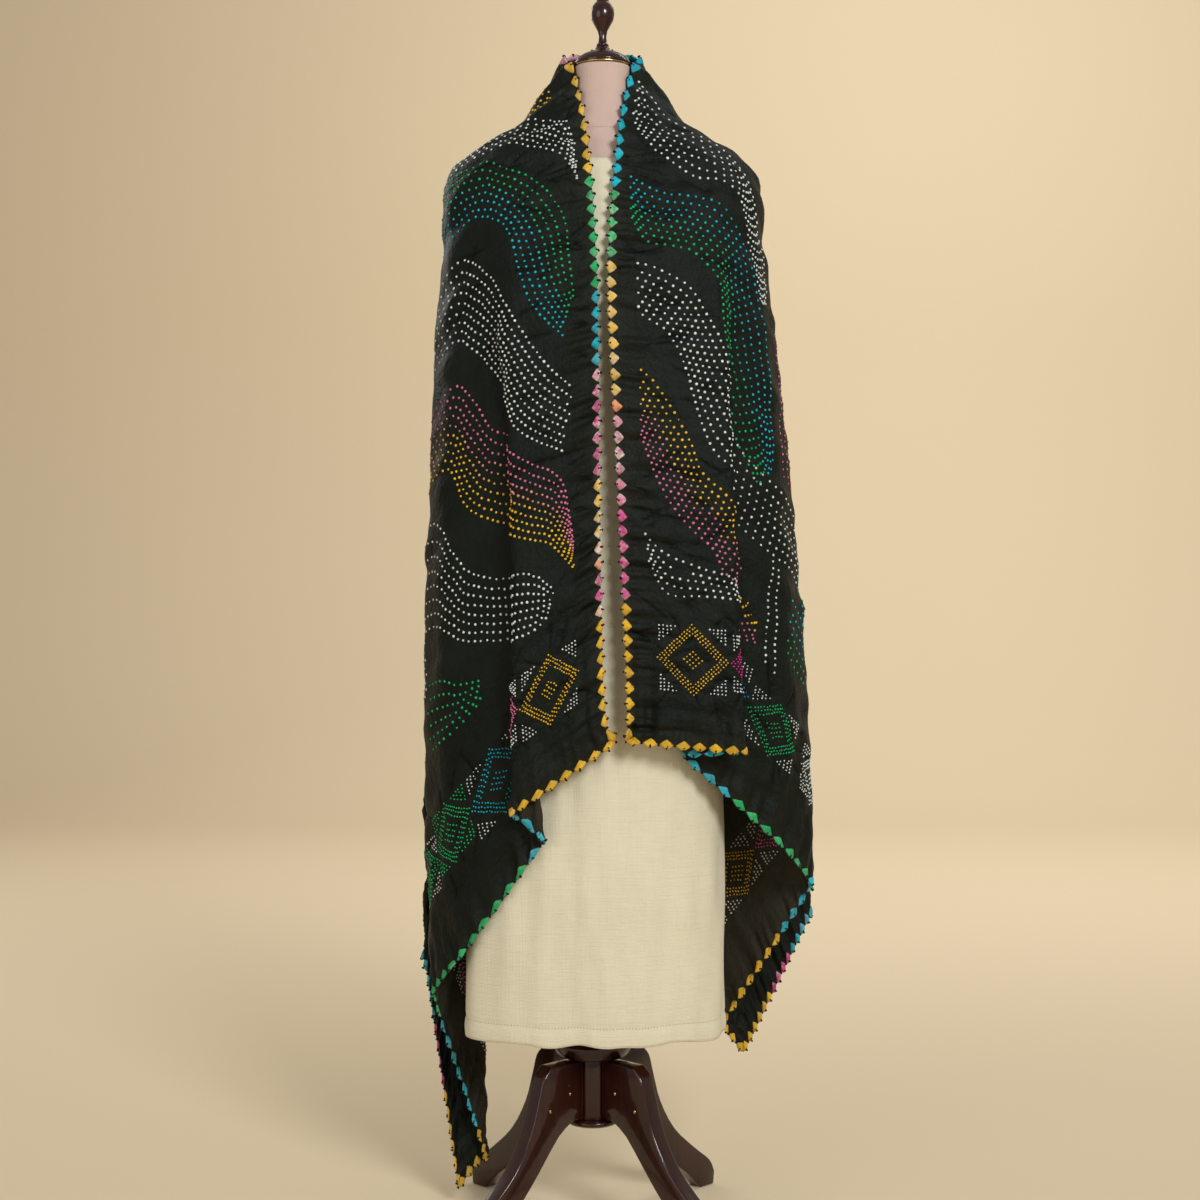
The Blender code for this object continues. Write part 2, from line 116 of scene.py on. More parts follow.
RAILS = {
    "front_edge": Rail("edge", -12, 0.026, -0.05, 1.462, 0.018, -0.088, 1.395, -0.122, -0.139, -0.141,
                       0.085, 0.25, 0.0, HALF_LENGTH, 0.0),
    "panel_fold": Rail("fold", 8, 0.07, -0.047, 1.453, 0.135, -0.075, 1.397, -0.11, -0.132, -0.135,
                       0.072, 0.225, 0.145, HALF_LENGTH, 0.19),
    "tuck_fold": Rail("fold", 20, 0.088, -0.032, 1.46, 0.172, -0.052, 1.392, -0.08, -0.114, -0.122,
                      0.063, 0.2, 0.18, HALF_LENGTH, 0.285),
    "side_turn": Rail("wave", 27, 0.098, -0.018, 1.463, 0.19, -0.03, 1.395, -0.05, -0.068, -0.074,
                      0.057, 0.175, 0.205, HALF_LENGTH, 0.46),
    "side_fold": Rail("fold", 32, 0.104, -0.004, 1.462, 0.197, -0.004, 1.397, 0.0, 0.005, 0.005,
                      0.052, 0.15, 0.225, HALF_LENGTH, 0.575),
    "under_fold": Rail("fold", 42, 0.1, 0.016, 1.465, 0.193, 0.03, 1.398, 0.055, 0.112, 0.12,
                       0.043, 0.115, 0.235, HALF_LENGTH, 0.86),
    "corner": Rail("corner", 50, 0.092, 0.028, 1.468, 0.182, 0.047, 1.401, 0.075, 0.122, 0.132,
                   0.036, 0.1, 0.235, HALF_LENGTH, WIDTH),
    "rear_fold": Rail("fold", 58, 0.08, 0.04, 1.472, 0.16, 0.06, 1.402, 0.095, 0.135, 0.15,
                      0.029, 0.08, 0.225, 0.88, WIDTH),
    "back_wave": Rail("wave", 68, 0.06, 0.05, 1.478, 0.125, 0.075, 1.406, 0.12, 0.185, 0.205,
                      0.02, 0.058, 0.205, 0.62, WIDTH),
    "back_dip": Rail("wave", 76, 0.04, 0.056, 1.482, 0.085, 0.082, 1.41, 0.116, 0.13, 0.135,
                     0.013, 0.04, 0.19, 0.42, WIDTH),
    "back_rib": Rail("wave", 83, 0.02, 0.06, 1.486, 0.045, 0.088, 1.414, 0.126, 0.178, 0.195,
                     0.007, 0.02, 0.18, 0.21, WIDTH),
}
MIDDLE_BACK = Rail("wave", 90, 0.0, 0.062, 1.488, 0.0, 0.090, 1.416, 0.120, 0.130, 0.138,
                   0.0, 0.0, 0.175, 0.0, WIDTH)
MIDDLE_BACK_HANG = Hang(0.011, 0.006, 0.003, 0.000, 0.140, 0.620)

RIGHT_HANG = {
    "front_edge": Hang(0.0215, 0.033, 0.043, 0.0415, -0.138, 0.645),
    "panel_fold": Hang(0.158, 0.178, 0.188, 0.192, -0.132, 0.632),
    "tuck_fold": Hang(0.186, 0.158, 0.13, 0.115, -0.119, 0.627),
    "side_turn": Hang(0.214, 0.24, 0.252, 0.245, -0.06, 0.508),
    "side_fold": Hang(0.229, 0.264, 0.282, 0.294, -0.002, 0.446),
    "under_fold": Hang(0.205, 0.165, 0.145, 0.177, 0.1, 0.235),
    "corner": Hang(0.195, 0.215, 0.222, 0.21, 0.12, 0.193),
    "rear_fold": Hang(0.18, 0.24, 0.272, 0.303, 0.135, 0.38),
    "back_wave": Hang(0.155, 0.19, 0.2, 0.205, 0.205, 0.47),
    "back_dip": Hang(0.108, 0.128, 0.132, 0.135, 0.135, 0.53),
    "back_rib": Hang(0.058, 0.066, 0.068, 0.068, 0.195, 0.585),
}

LEFT_HANG = {
    "front_edge": Hang(0.0033, 0.0084, 0.0125, 0.03, -0.138, 0.645),
    "panel_fold": Hang(-0.112, -0.103, -0.1024, -0.1024, -0.131, 0.554),
    "tuck_fold": Hang(-0.15, -0.098, -0.075, -0.06, -0.118, 0.519),
    "side_turn": Hang(-0.184, -0.19, -0.19, -0.172, -0.07, 0.36),
    "side_fold": Hang(-0.2004, -0.2177, -0.2243, -0.215, 0.002, 0.301),
    "under_fold": Hang(-0.186, -0.165, -0.155, -0.148, 0.075, 0.058),
    "corner": Hang(-0.176, -0.2, -0.206, -0.183, 0.062, 0.022),
    "rear_fold": Hang(-0.155, -0.205, -0.224, -0.233, 0.095, 0.33),
    "back_wave": Hang(-0.13, -0.175, -0.185, -0.19, 0.19, 0.44),
    "back_dip": Hang(-0.085, -0.118, -0.125, -0.125, 0.13, 0.515),
    "back_rib": Hang(-0.035, -0.055, -0.06, -0.06, 0.19, 0.575),
}


def smooth_through(places: Sequence[float], values: np.ndarray, at: np.ndarray) -> np.ndarray:
    """A smooth curve through values at the given places.

    Args:
        places: Rising places of the values.
        values: One row of numbers for each place.
        at: Places to read.

    Returns:
        One row for each place read.
    """
    places = np.asarray(places, dtype=float)
    values = np.asarray(values, dtype=float)
    at = np.atleast_1d(at)
    gaps = np.diff(places)
    steps = np.diff(values, axis=0) / gaps[:, None]
    slopes = np.empty_like(values)
    slopes[0], slopes[-1] = steps[0], steps[-1]
    before, after = gaps[:-1, None], gaps[1:, None]
    slopes[1:-1] = (steps[:-1] * after + steps[1:] * before) / (before + after)
    span = np.clip(np.searchsorted(places, at) - 1, 0, len(places) - 2)
    width = gaps[span][:, None]
    u = ((at - places[span]) / gaps[span])[:, None]
    level = values[span] * (1 - u * u * (3 - 2 * u)) + values[span + 1] * (u * u * (3 - 2 * u))
    return level + slopes[span] * u * (1 - u) ** 2 * width + slopes[span + 1] * u * u * (u - 1) * width


def ease(value: np.ndarray) -> np.ndarray:
    """A soft step from 0 to 1 while value goes from 0 to 1."""
    value = np.clip(value, 0.0, 1.0)
    return value * value * (3 - 2 * value)


def unit(rows: np.ndarray) -> np.ndarray:
    """Rows scaled to a length of 1."""
    return rows / np.maximum(np.linalg.norm(rows, axis=1, keepdims=True), 1e-12)


def run_of(points: np.ndarray) -> np.ndarray:
    """Distance from the first point to each one, by way of those between."""
    return np.concatenate(([0.0], np.cumsum(np.linalg.norm(np.diff(points, axis=0), axis=1))))


def between(at: np.ndarray, places: np.ndarray, rows: np.ndarray) -> np.ndarray:
    """Rows read at some places, straight between the rows given at others."""
    return np.stack([np.interp(at, places, column) for column in rows.T], axis=1)


@dataclass
class Drape:
    """The draped middle surface, as points in space with their places on the flat cloth."""

    levels: tuple[float, ...] = (0.0, 0.07, 0.15, 0.25, 0.47, 0.64, 1.0)
    chest_height: float = 1.28
    waist_height: float = 0.97
    low_height: float = 0.74
    edge_radius: float = 0.0420
    side_radius: float = 0.0580
    front_height: float = 1.536
    nape_height: float = 1.569
    fold_width: float = 0.012
    fold_reach: float = 0.026
    fold_width_share: float = 0.15      # of the way to the nearest rail, at most
    fold_reach_share: float = 0.35
    front_turn: float = 12.0            # degrees in front of the side where the neck edge starts
    side_span: float = 47.0
    nape_span: float = 90.0
    samples_per_span: int = 12
    rows: int = 420
    probe: float = 0.4                  # of a grid step, when a place is looked up
    look_up_steps: int = 4
    look_up_reach: float = 0.01
    grid: np.ndarray = field(init=False)
    tree: KDTree | None = field(init=False, default=None)

    def __post_init__(self) -> None:
        """Work out the fine grid once."""
        self.grid = self._fine_grid()

    def _collar(self, turn: float, side: int) -> tuple[float, float, float]:
        """Neck edge of the cloth: it opens out from the throat and stands at the nape.

        Args:
            turn: Degrees round the neck.
            side: 1 for the right half, -1 for the left.

        Returns:
            The point, from the pole's axis.
        """
        opening = float(ease((turn + self.front_turn) / self.side_span))
        radius = self.edge_radius + (self.side_radius - self.edge_radius) * opening
        rise = min(max((turn + self.front_turn) / self.nape_span, 0.0), 1.0)
        height = self.front_height + (self.nape_height - self.front_height) * rise
        angle = math.radians(turn)
        return NECK_LEAN + side * radius * math.cos(angle), radius * math.sin(angle), height

    def _rail(self, row: Rail, hang: Hang, side: int) -> np.ndarray:
        """One rail's points, each with its place along and across the flat cloth.

        Args:
            row: The rail at the neck and shoulder.
            hang: The rail below the shoulder.
            side: 1 for the right half, -1 for the left.

        Returns:
            Rows of x, y, z, along, across, one for each level.
        """
        points = np.array([
            self._collar(row.turn, side),
            (NECK_LEAN + side * row.yoke_x, row.yoke_y, row.yoke_z),
            (NECK_LEAN + side * row.tip_x, row.tip_y, row.tip_z),
            (hang.chest_x, row.chest_y, self.chest_height),
            (hang.waist_x, row.waist_y, self.waist_height),
            (hang.low_x, row.low_y, self.low_height),
            (hang.end_x, hang.end_y, hang.end_z)])
        lengths = np.linalg.norm(np.diff(points, axis=0), axis=1)
        upper = np.concatenate(([0.0], np.cumsum(lengths[:2]))) / lengths[:2].sum()
        lower = np.cumsum(lengths[2:]) / lengths[2:].sum()
        start, tip = np.array((row.cut_collar, 0.0)), np.array((row.cut_tip_a, row.cut_tip_b))
        end = np.array((row.cut_end_a, row.cut_end_b))
        cut = [start + (tip - start) * f for f in upper] + [tip + (end - tip) * f for f in lower]
        cut = np.array(cut) * (side, 1)
        return np.hstack([points, cut])

    def _controls(self, kinds: list[str], tips: np.ndarray) -> np.ndarray:
        """Control points of one section: a fold gets a round nose, a corner stays sharp.

        Args:
            kinds: The kind of each rail.
            tips: Points for each level and rail, with their places on the cloth.

        Returns:
            Controls for each level, in order round the body.
        """
        columns = []
        for i, kind in enumerate(kinds):
            tip = tips[:, i]
            if kind in ("edge", "wave"):
                columns.append(tip)
                continue
            if kind == "corner":
                columns += [tip, tip]
                continue
            before, after = tip - tips[:, i - 1], tips[:, i + 1] - tip
            size_in = np.linalg.norm(before[:, :3], axis=1, keepdims=True)
            size_out = np.linalg.norm(after[:, :3], axis=1, keepdims=True)
            nearest = np.minimum(size_in, size_out)
            half = np.minimum(self.fold_width / 2, nearest * self.fold_width_share)
            reach = np.minimum(self.fold_reach, nearest * self.fold_reach_share)
            across = unit(unit(before[:, :3] * (1, 1, 0)) + unit(after[:, :3] * (1, 1, 0)))
            step_in, step_out = before / size_in, after / size_out
            nose_in = np.hstack([across * half, step_in[:, 3:] * half])
            nose_out = np.hstack([across * half, step_out[:, 3:] * half])
            columns += [tip - nose_in - step_in * reach, tip - nose_in,
                        tip + nose_out, tip + nose_out + step_out * reach]
        return np.stack(columns, axis=1)

    def _fine_grid(self) -> np.ndarray:
        """The whole surface as rows of points, neck edge first, left front edge first.

        Returns:
            Array of rows, columns and (x, y, z, along, across).
        """
        left = [(row.kind, self._rail(row, LEFT_HANG[name], -1)) for name, row in RAILS.items()]
        right = [(row.kind, self._rail(row, RIGHT_HANG[name], 1)) for name, row in RAILS.items()]
        rails = left + [(MIDDLE_BACK.kind, self._rail(MIDDLE_BACK, MIDDLE_BACK_HANG, 1))] + right[::-1]
        at = np.linspace(0.0, 1.0, self.rows + 1)
        tips = np.stack([smooth_through(self.levels, rail, at) for _, rail in rails], axis=1)
        controls = self._controls([kind for kind, _ in rails], tips)
        middles = (controls[:, :-1] + controls[:, 1:]) / 2
        middles[:, 0], middles[:, -1] = controls[:, 0], controls[:, -1]
        columns = []
        for span in range(middles.shape[1] - 1):
            start, pull, stop = middles[:, span], controls[:, span + 1], middles[:, span + 1]
            for step in range(self.samples_per_span):
                u = step / self.samples_per_span
                columns.append(start * (1 - u) ** 2 + 2 * pull * u * (1 - u) + stop * u * u)
        columns.append(middles[:, -1])
        grid = np.stack(columns, axis=1)
        grid[:, :, 0] += AXIS.x
        grid[:, :, 1] += AXIS.y
        return grid

    def read(self, across: np.ndarray, down: np.ndarray) -> np.ndarray:
        """Read the surface between its grid points.

        Args:
            across: Column places, from 0 at the left front edge to 1 at the right one.
            down: Row places, from 0 at the neck edge to 1 at the hem and long edge.

        Returns:
            One row of (x, y, z, along, across) for each place.
        """
        rows, columns = self.grid.shape[0] - 1, self.grid.shape[1] - 1
        c = np.clip(across, 0, 1) * columns
        r = np.clip(down, 0, 1) * rows
        c0 = np.minimum(c.astype(int), columns - 1)
        r0 = np.minimum(r.astype(int), rows - 1)
        fc, fr = (c - c0)[:, None], (r - r0)[:, None]
        g = self.grid
        upper = g[r0, c0] * (1 - fc) + g[r0, c0 + 1] * fc
        lower = g[r0 + 1, c0] * (1 - fc) + g[r0 + 1, c0 + 1] * fc
        return upper * (1 - fr) + lower * fr

    def locate(self, flat: np.ndarray) -> tuple[np.ndarray, np.ndarray]:
        """Find where places on the flat cloth lie on the draped surface.

        Args:
            flat: Rows of (along, across).

        Returns:
            Column places and row places, both from 0 to 1.
        """
        if self.tree is None:
            cut = self.grid[:, :, 3:].reshape(-1, 2)
            self.tree = KDTree(len(cut))
            for index, (along, across) in enumerate(cut):
                self.tree.insert((along, across, 0.0), index)
            self.tree.balance()
        near = np.array([self.tree.find((along, across, 0.0))[1] for along, across in flat])
        rows, columns = self.grid.shape[0] - 1, self.grid.shape[1] - 1
        across, down = (near % (columns + 1)) / columns, (near // (columns + 1)) / rows
        step_u, step_t = self.probe / columns, self.probe / rows
        for _ in range(self.look_up_steps):
            here = self.read(across, down)[:, 3:]
            by_u = self.read(across + step_u, down)[:, 3:] - self.read(across - step_u, down)[:, 3:]
            by_t = self.read(across, down + step_t)[:, 3:] - self.read(across, down - step_t)[:, 3:]
            span_u = np.clip(across + step_u, 0, 1) - np.clip(across - step_u, 0, 1)
            span_t = np.clip(down + step_t, 0, 1) - np.clip(down - step_t, 0, 1)
            by_u, by_t = by_u / span_u[:, None], by_t / span_t[:, None]
            size = by_u[:, 0] * by_t[:, 1] - by_u[:, 1] * by_t[:, 0]
            size = np.where(np.abs(size) < 1e-9, 1e-9, size)
            miss = flat - here
            move_u = (miss[:, 0] * by_t[:, 1] - miss[:, 1] * by_t[:, 0]) / size
            move_t = (by_u[:, 0] * miss[:, 1] - by_u[:, 1] * miss[:, 0]) / size
            across = np.clip(across + np.clip(move_u, -self.look_up_reach, self.look_up_reach), 0, 1)
            down = np.clip(down + np.clip(move_t, -self.look_up_reach, self.look_up_reach), 0, 1)
        return across, down


class Crease(NamedTuple):
    """A soft ridge or furrow between two places on the flat cloth; a height below 0 is a furrow."""

    from_along: float
    from_across: float
    to_along: float
    to_across: float
    half_width: float
    height: float

    def line(self) -> tuple[np.ndarray, np.ndarray]:
        """Where it starts, and the way to its end."""
        start = np.array((self.from_along, self.from_across))
        return start, np.array((self.to_along, self.to_across)) - start


CREASES = tuple(Crease(*row) for row in (
    (-0.93, 0.004, -0.968, 0.085, 0.007, 0.003), (-1.01, 0.004, -1.035, 0.075, 0.008, -0.003),
    (-1.032, 0.004, -1.06, 0.06, 0.006, 0.0026), (-1.0, 0.15, -1.04, 0.12, 0.007, -0.0026),
    (-1.15, 0.13, -1.225, 0.105, 0.009, -0.0036), (-1.165, 0.085, -1.215, 0.06, 0.008, -0.0032),
    (-1.155, 0.18, -1.235, 0.165, 0.01, 0.0034), (-0.985, 0.395, -1.055, 0.375, 0.008, -0.003),
    (-0.56, 0.03, -0.575, 0.13, 0.01, -0.0022), (-0.43, 0.02, -0.44, 0.11, 0.009, 0.0018),
    (-0.33, 0.01, -0.318, 0.08, 0.008, -0.002), (-0.8, 0.01, -0.818, 0.09, 0.009, -0.0022),
    (-1.08, 0.32, -1.2, 0.33, 0.012, -0.003), (-1.06, 0.48, -1.18, 0.52, 0.012, 0.003),
    (0.845, 0.004, 0.88, 0.06, 0.007, -0.0028), (0.865, 0.004, 0.905, 0.075, 0.007, 0.0026),
    (0.505, 0.004, 0.5, 0.12, 0.007, -0.003), (0.6, 0.03, 0.555, 0.11, 0.009, -0.003),
    (0.7, 0.12, 0.735, 0.02, 0.008, 0.0024), (0.27, 0.1, 0.32, 0.085, 0.007, -0.0026),
    (0.275, 0.145, 0.315, 0.13, 0.006, -0.0024), (0.47, 0.16, 0.5, 0.13, 0.007, 0.0022),
    (0.982, 0.075, 1.03, 0.1, 0.008, -0.0032), (0.978, 0.11, 1.035, 0.14, 0.008, -0.0034),
    (0.985, 0.16, 1.02, 0.18, 0.008, 0.003), (1.165, 0.06, 1.235, 0.085, 0.01, -0.0032),
    (1.172, 0.145, 1.24, 0.16, 0.009, -0.0034), (1.16, 0.105, 1.235, 0.115, 0.01, 0.0028),
    (0.905, 0.3, 0.935, 0.35, 0.008, -0.0034), (0.935, 0.305, 0.965, 0.365, 0.008, 0.003),
    (1.045, 0.385, 1.01, 0.4, 0.007, -0.003), (1.18, 0.42, 1.235, 0.4, 0.01, -0.0032),
    (0.64, 0.42, 0.9, 0.47, 0.02, 0.003), (-0.64, 0.42, -0.9, 0.5, 0.02, 0.003),
    (0.12, 0.24, 0.42, 0.56, 0.022, -0.0034), (-0.12, 0.24, -0.42, 0.58, 0.022, -0.0034),
    (0.02, 0.3, 0.06, 0.8, 0.018, 0.003), (-0.3, 0.48, -0.33, 0.9, 0.018, -0.003),
    (0.3, 0.5, 0.35, 0.9, 0.018, -0.003), (0.6, 0.62, 0.78, 0.9, 0.018, 0.003),
    (-0.62, 0.6, -0.76, 0.9, 0.018, 0.003)))


class Dye(Enum):
    """Colours tied into the silk."""

    WHITE = (0.70, 0.74, 0.71)
    YELLOW = (0.82, 0.48, 0.020)
    ORANGE = (0.86, 0.25, 0.060)
    PINK = (0.66, 0.17, 0.30)
    MAGENTA = (0.62, 0.030, 0.240)
    CYAN = (0.004, 0.440, 0.580)
    BLUE = (0.016, 0.240, 0.560)
    GREEN = (0.007, 0.440, 0.130)


class Diamond(NamedTuple):
    """A nested diamond near the hem, with four corner triangles."""

    side: int
    along: float
    across: float
    half_along: float
    half_across: float
    dye: Dye
    corners: Dye


DIAMONDS = (
    Diamond(-1, 1.104, 0.102, 0.055, 0.056, Dye.YELLOW, Dye.WHITE),
    Diamond(-1, 1.100, 0.214, 0.050, 0.050, Dye.PINK, Dye.WHITE),
    Diamond(-1, 1.086, 0.340, 0.054, 0.046, Dye.CYAN, Dye.WHITE),
    Diamond(-1, 1.078, 0.430, 0.046, 0.042, Dye.GREEN, Dye.GREEN),
    Diamond(1, 1.103, 0.101, 0.058, 0.054, Dye.YELLOW, Dye.WHITE),
    Diamond(1, 1.103, 0.210, 0.050, 0.050, Dye.MAGENTA, Dye.WHITE),
    Diamond(1, 1.070, 0.307, 0.052, 0.046, Dye.BLUE, Dye.WHITE),
    Diamond(1, 1.088, 0.402, 0.048, 0.045, Dye.GREEN, Dye.WHITE),
)


class Ripple(NamedTuple):
    """One family of gathers square to an edge."""

    length: float            # along the edge, on the flat cloth
    height: float
    reach: float             # how far in from the edge it fades to a third
    rise: float              # how far in it starts


@dataclass
class Silk:
    """The draped silk with its gathers and creases: every piece on it is placed through this."""

    drape: Drape = field(default_factory=Drape)
    lozenge_pitch: float = 2 * HALF_LENGTH / 96
    hem_pitch: float = WIDTH / 38
    seam_height: float = 0.0016
    seam_reach: float = 0.026
    ripples: tuple[Ripple, ...] = (
        Ripple(0.0135, 0.0013, 0.034, 0.010), Ripple(0.021, 0.0021, 0.050, 0.010),
        Ripple(0.034, 0.0026, 0.080, 0.012), Ripple(0.067, 0.0024, 0.120, 0.020))
    pucker_count: int = 150
    pucker_height: float = 0.0023
    pucker_length: tuple[float, float] = (0.020, 0.065)
    pucker_width: tuple[float, float] = (0.0017, 0.0030)
    fan_count: int = 11                 # creases round each motif
    fan_start: tuple[float, float] = (0.040, 0.062)
    fan_length: tuple[float, float] = (0.022, 0.058)
    fan_width: tuple[float, float] = (0.0017, 0.0028)
    crumples: int = 26
    crumple_height: float = 0.00030
    gather_length: float = 0.062
    gather_height: float = 0.0056
    gather_from: float = 0.56           # across the cloth, where the back's gathers start
    gather_fade: float = 0.12
    gather_end: float = 0.95            # along the cloth, where they end
    gather_end_fade: float = 0.25
    hem_apart: float = 7.0              # sets the waves of the two hems apart
    seed: int = 11

    def __post_init__(self) -> None:
        """Draw the random waves once."""
        rng = np.random.default_rng(self.seed)
        self.wander = rng.uniform(0.0, math.tau, (len(self.ripples), 3, 4))
        turn = rng.uniform(0.0, math.pi, self.crumples)
        length = rng.uniform(0.022, 0.095, self.crumples)
        self.waves = np.stack([np.cos(turn) / length, np.sin(turn) / length], axis=1) * math.tau
        self.wave_starts = rng.uniform(0.0, math.tau, self.crumples)
        self.wave_sizes = self.crumple_height * (length / 0.06)
        self.puckers = self._puckers(rng)

    def _puckers(self, rng: np.random.Generator) -> list[Crease]:
        """Thin sharp creases: they fan out from the tied motifs and run in from the front edge.

        Args:
            rng: The silk's own random numbers.

        Returns:
            The creases.
        """
        found = []
        for motif in DIAMONDS:
            middle = np.array((motif.side * motif.along, motif.across))
            for turn in np.arange(self.fan_count) / self.fan_count * math.tau + rng.uniform(0, 0.5):
                turn = turn + rng.uniform(-0.25, 0.25)
                way = np.array((math.cos(turn), math.sin(turn)))
                start = middle + way * rng.uniform(*self.fan_start)
                bend = turn + rng.uniform(-0.5, 0.5)
                end = start + np.array((math.cos(bend), math.sin(bend))) * rng.uniform(*self.fan_length)
                found.append(Crease(*start, *end, rng.uniform(*self.fan_width),
                                    -self.pucker_height * rng.uniform(0.7, 1.4)))
        for _ in range(self.pucker_count):
            side, along = rng.choice((-1, 1)), rng.uniform(0.12, 1.2)
            across = 0.012 + 0.20 * rng.uniform() ** 1.6
            turn = side * rng.uniform(-0.75, 0.75) + math.pi / 2
            size = rng.uniform(*self.pucker_length)
            found.append(Crease(side * along, across, side * along + math.cos(turn) * size,
                                across + math.sin(turn) * size, rng.uniform(*self.pucker_width),
                                -self.pucker_height * rng.uniform(0.6, 1.4)))
        return found

    def pucker_distance(self, flat: np.ndarray) -> np.ndarray:
        """How far each place is from the nearest thin crease.

        Args:
            flat: Rows of (along, across).

        Returns:
            One distance for each row.
        """
        near = np.full(len(flat), 1.0)
        for crease in self.puckers:
            start, run = crease.line()
            gone = np.clip(((flat - start) @ run) / (run @ run), 0.0, 1.0)
            near = np.minimum(near, np.linalg.norm(flat - start - gone[:, None] * run, axis=1))
        return near

    def _wander(self, index: int, edge: int, place: np.ndarray) -> tuple[np.ndarray, np.ndarray]:
        """Slow change of phase and of strength along an edge.

        Args:
            index: Which ripple.
            edge: Which edge.
            place: Distance along the edge.

        Returns:
            A phase to add, and a strength of about 1.
        """
        a, b, c, d = self.wander[index, edge]
        phase = 1.9 * np.sin(place * 23 + a) + 1.3 * np.sin(place * 61 + b)
        strength = 0.95 + 0.45 * np.sin(place * 37 + c) * np.sin(place * 13 + d)
        return phase, strength

    def relief(self, flat: np.ndarray) -> np.ndarray:
        """Height of the gathers and creases above the smooth drape.

        Args:
            flat: Rows of (along, across).

        Returns:
            One height for each row.
        """
        along, across = flat[:, 0], flat[:, 1]
        height = np.zeros(len(flat))
        hem_side = np.where(along > 0, self.hem_apart, 0.0)
        edges = ((across, along, self.lozenge_pitch), (WIDTH - across, along, self.lozenge_pitch),
                 (HALF_LENGTH - np.abs(along), across + hem_side, self.hem_pitch))
        for edge, (inward, place, pitch) in enumerate(edges):
            inward = np.maximum(inward, 0.0)
            start = place + HALF_LENGTH
            if edge == 2:
                start = np.where(place >= self.hem_apart, place - self.hem_apart, place)
            height += self.seam_height * np.exp(-inward / self.seam_reach) * -np.cos(math.tau * start / pitch)
            for index, ripple in enumerate(self.ripples):
                phase, strength = self._wander(index, edge, place)
                fade = np.exp(-inward / ripple.reach) * ease(inward / ripple.rise)
                height += ripple.height * strength * fade * np.sin(math.tau * place / ripple.length + phase)
        back = (ease((across - self.gather_from) / self.gather_fade)
                * ease((self.gather_end - np.abs(along)) / self.gather_end_fade))
        sway = 1.4 * np.sin(across * 9.0 + along * 5.0) + 1.9 * np.sin(along * 17.0)
        height += self.gather_height * back * np.sin(math.tau * along / self.gather_length + sway)
        waves = np.sin(flat @ self.waves.T + self.wave_starts)
        height += (waves * self.wave_sizes).sum(axis=1)
        for crease in (*CREASES, *self.puckers):
            start, run = crease.line()
            size = np.linalg.norm(run)
            gone = ((flat - start) @ run) / size ** 2
            aside = np.abs((flat - start) @ (np.array((-run[1], run[0])) / size))
            aside = aside + 0.15 * crease.half_width * np.sin(gone * 7.0)
            taper = np.clip(1.6 * np.sin(math.pi * np.clip(gone, 0.0, 1.0)), 0.0, 1.0)
            height += crease.height * taper * np.exp(-(aside / crease.half_width) ** 2)
        return height

    def surface(self, across: np.ndarray, down: np.ndarray) -> np.ndarray:
        """Points of the gathered silk.

        Args:
            across: Column places, from 0 to 1.
            down: Row places, from 0 to 1.

        Returns:
            Rows of (x, y, z, along, across).
        """
        here = self.drape.read(across, down)
        rows, columns = self.drape.grid.shape[0] - 1, self.drape.grid.shape[1] - 1
        aside, below = 1.5 / columns, 2.0 / rows
        by_u = self.drape.read(across + aside, down) - self.drape.read(across - aside, down)
        by_t = self.drape.read(across, down + below) - self.drape.read(across, down - below)
        normal = unit(np.cross(by_u[:, :3], by_t[:, :3]))
        here[:, :3] += normal * self.relief(here[:, 3:])[:, None]
        return here

    def place(self, flat: np.ndarray, lift: np.ndarray) -> tuple[np.ndarray, np.ndarray]:
        """Points on or just off the gathered silk, even a little past its edges.

        Args:
            flat: Rows of (along, across).
            lift: Height of each point above the outer face; below 0 for the other face.

        Returns:
            The points, and the outward normals of the silk under them.
        """
        inside = np.stack([np.clip(flat[:, 0], -HALF_LENGTH, HALF_LENGTH),
                           np.clip(flat[:, 1], 0.0, WIDTH)], axis=1)
        past = flat - inside
        step = 0.003
        toward = np.where(np.stack([inside[:, 0] > 0, inside[:, 1] > WIDTH / 2], axis=1), -step, step)
        middle = self.surface(*self.drape.locate(inside))[:, :3]
        by_along = self.surface(*self.drape.locate(inside + toward * (1, 0)))[:, :3] - middle
        by_across = self.surface(*self.drape.locate(inside + toward * (0, 1)))[:, :3] - middle
        by_along = unit(by_along * np.sign(toward[:, :1]))
        by_across = unit(by_across * np.sign(toward[:, 1:]))
        normal = unit(np.cross(by_along, by_across))
        middle = middle + by_along * past[:, :1] + by_across * past[:, 1:]
        return middle + normal * lift[:, None], normal


# ---- dyes and finishes ---------------------------------------------------------------
Socket = bpy.types.NodeSocket


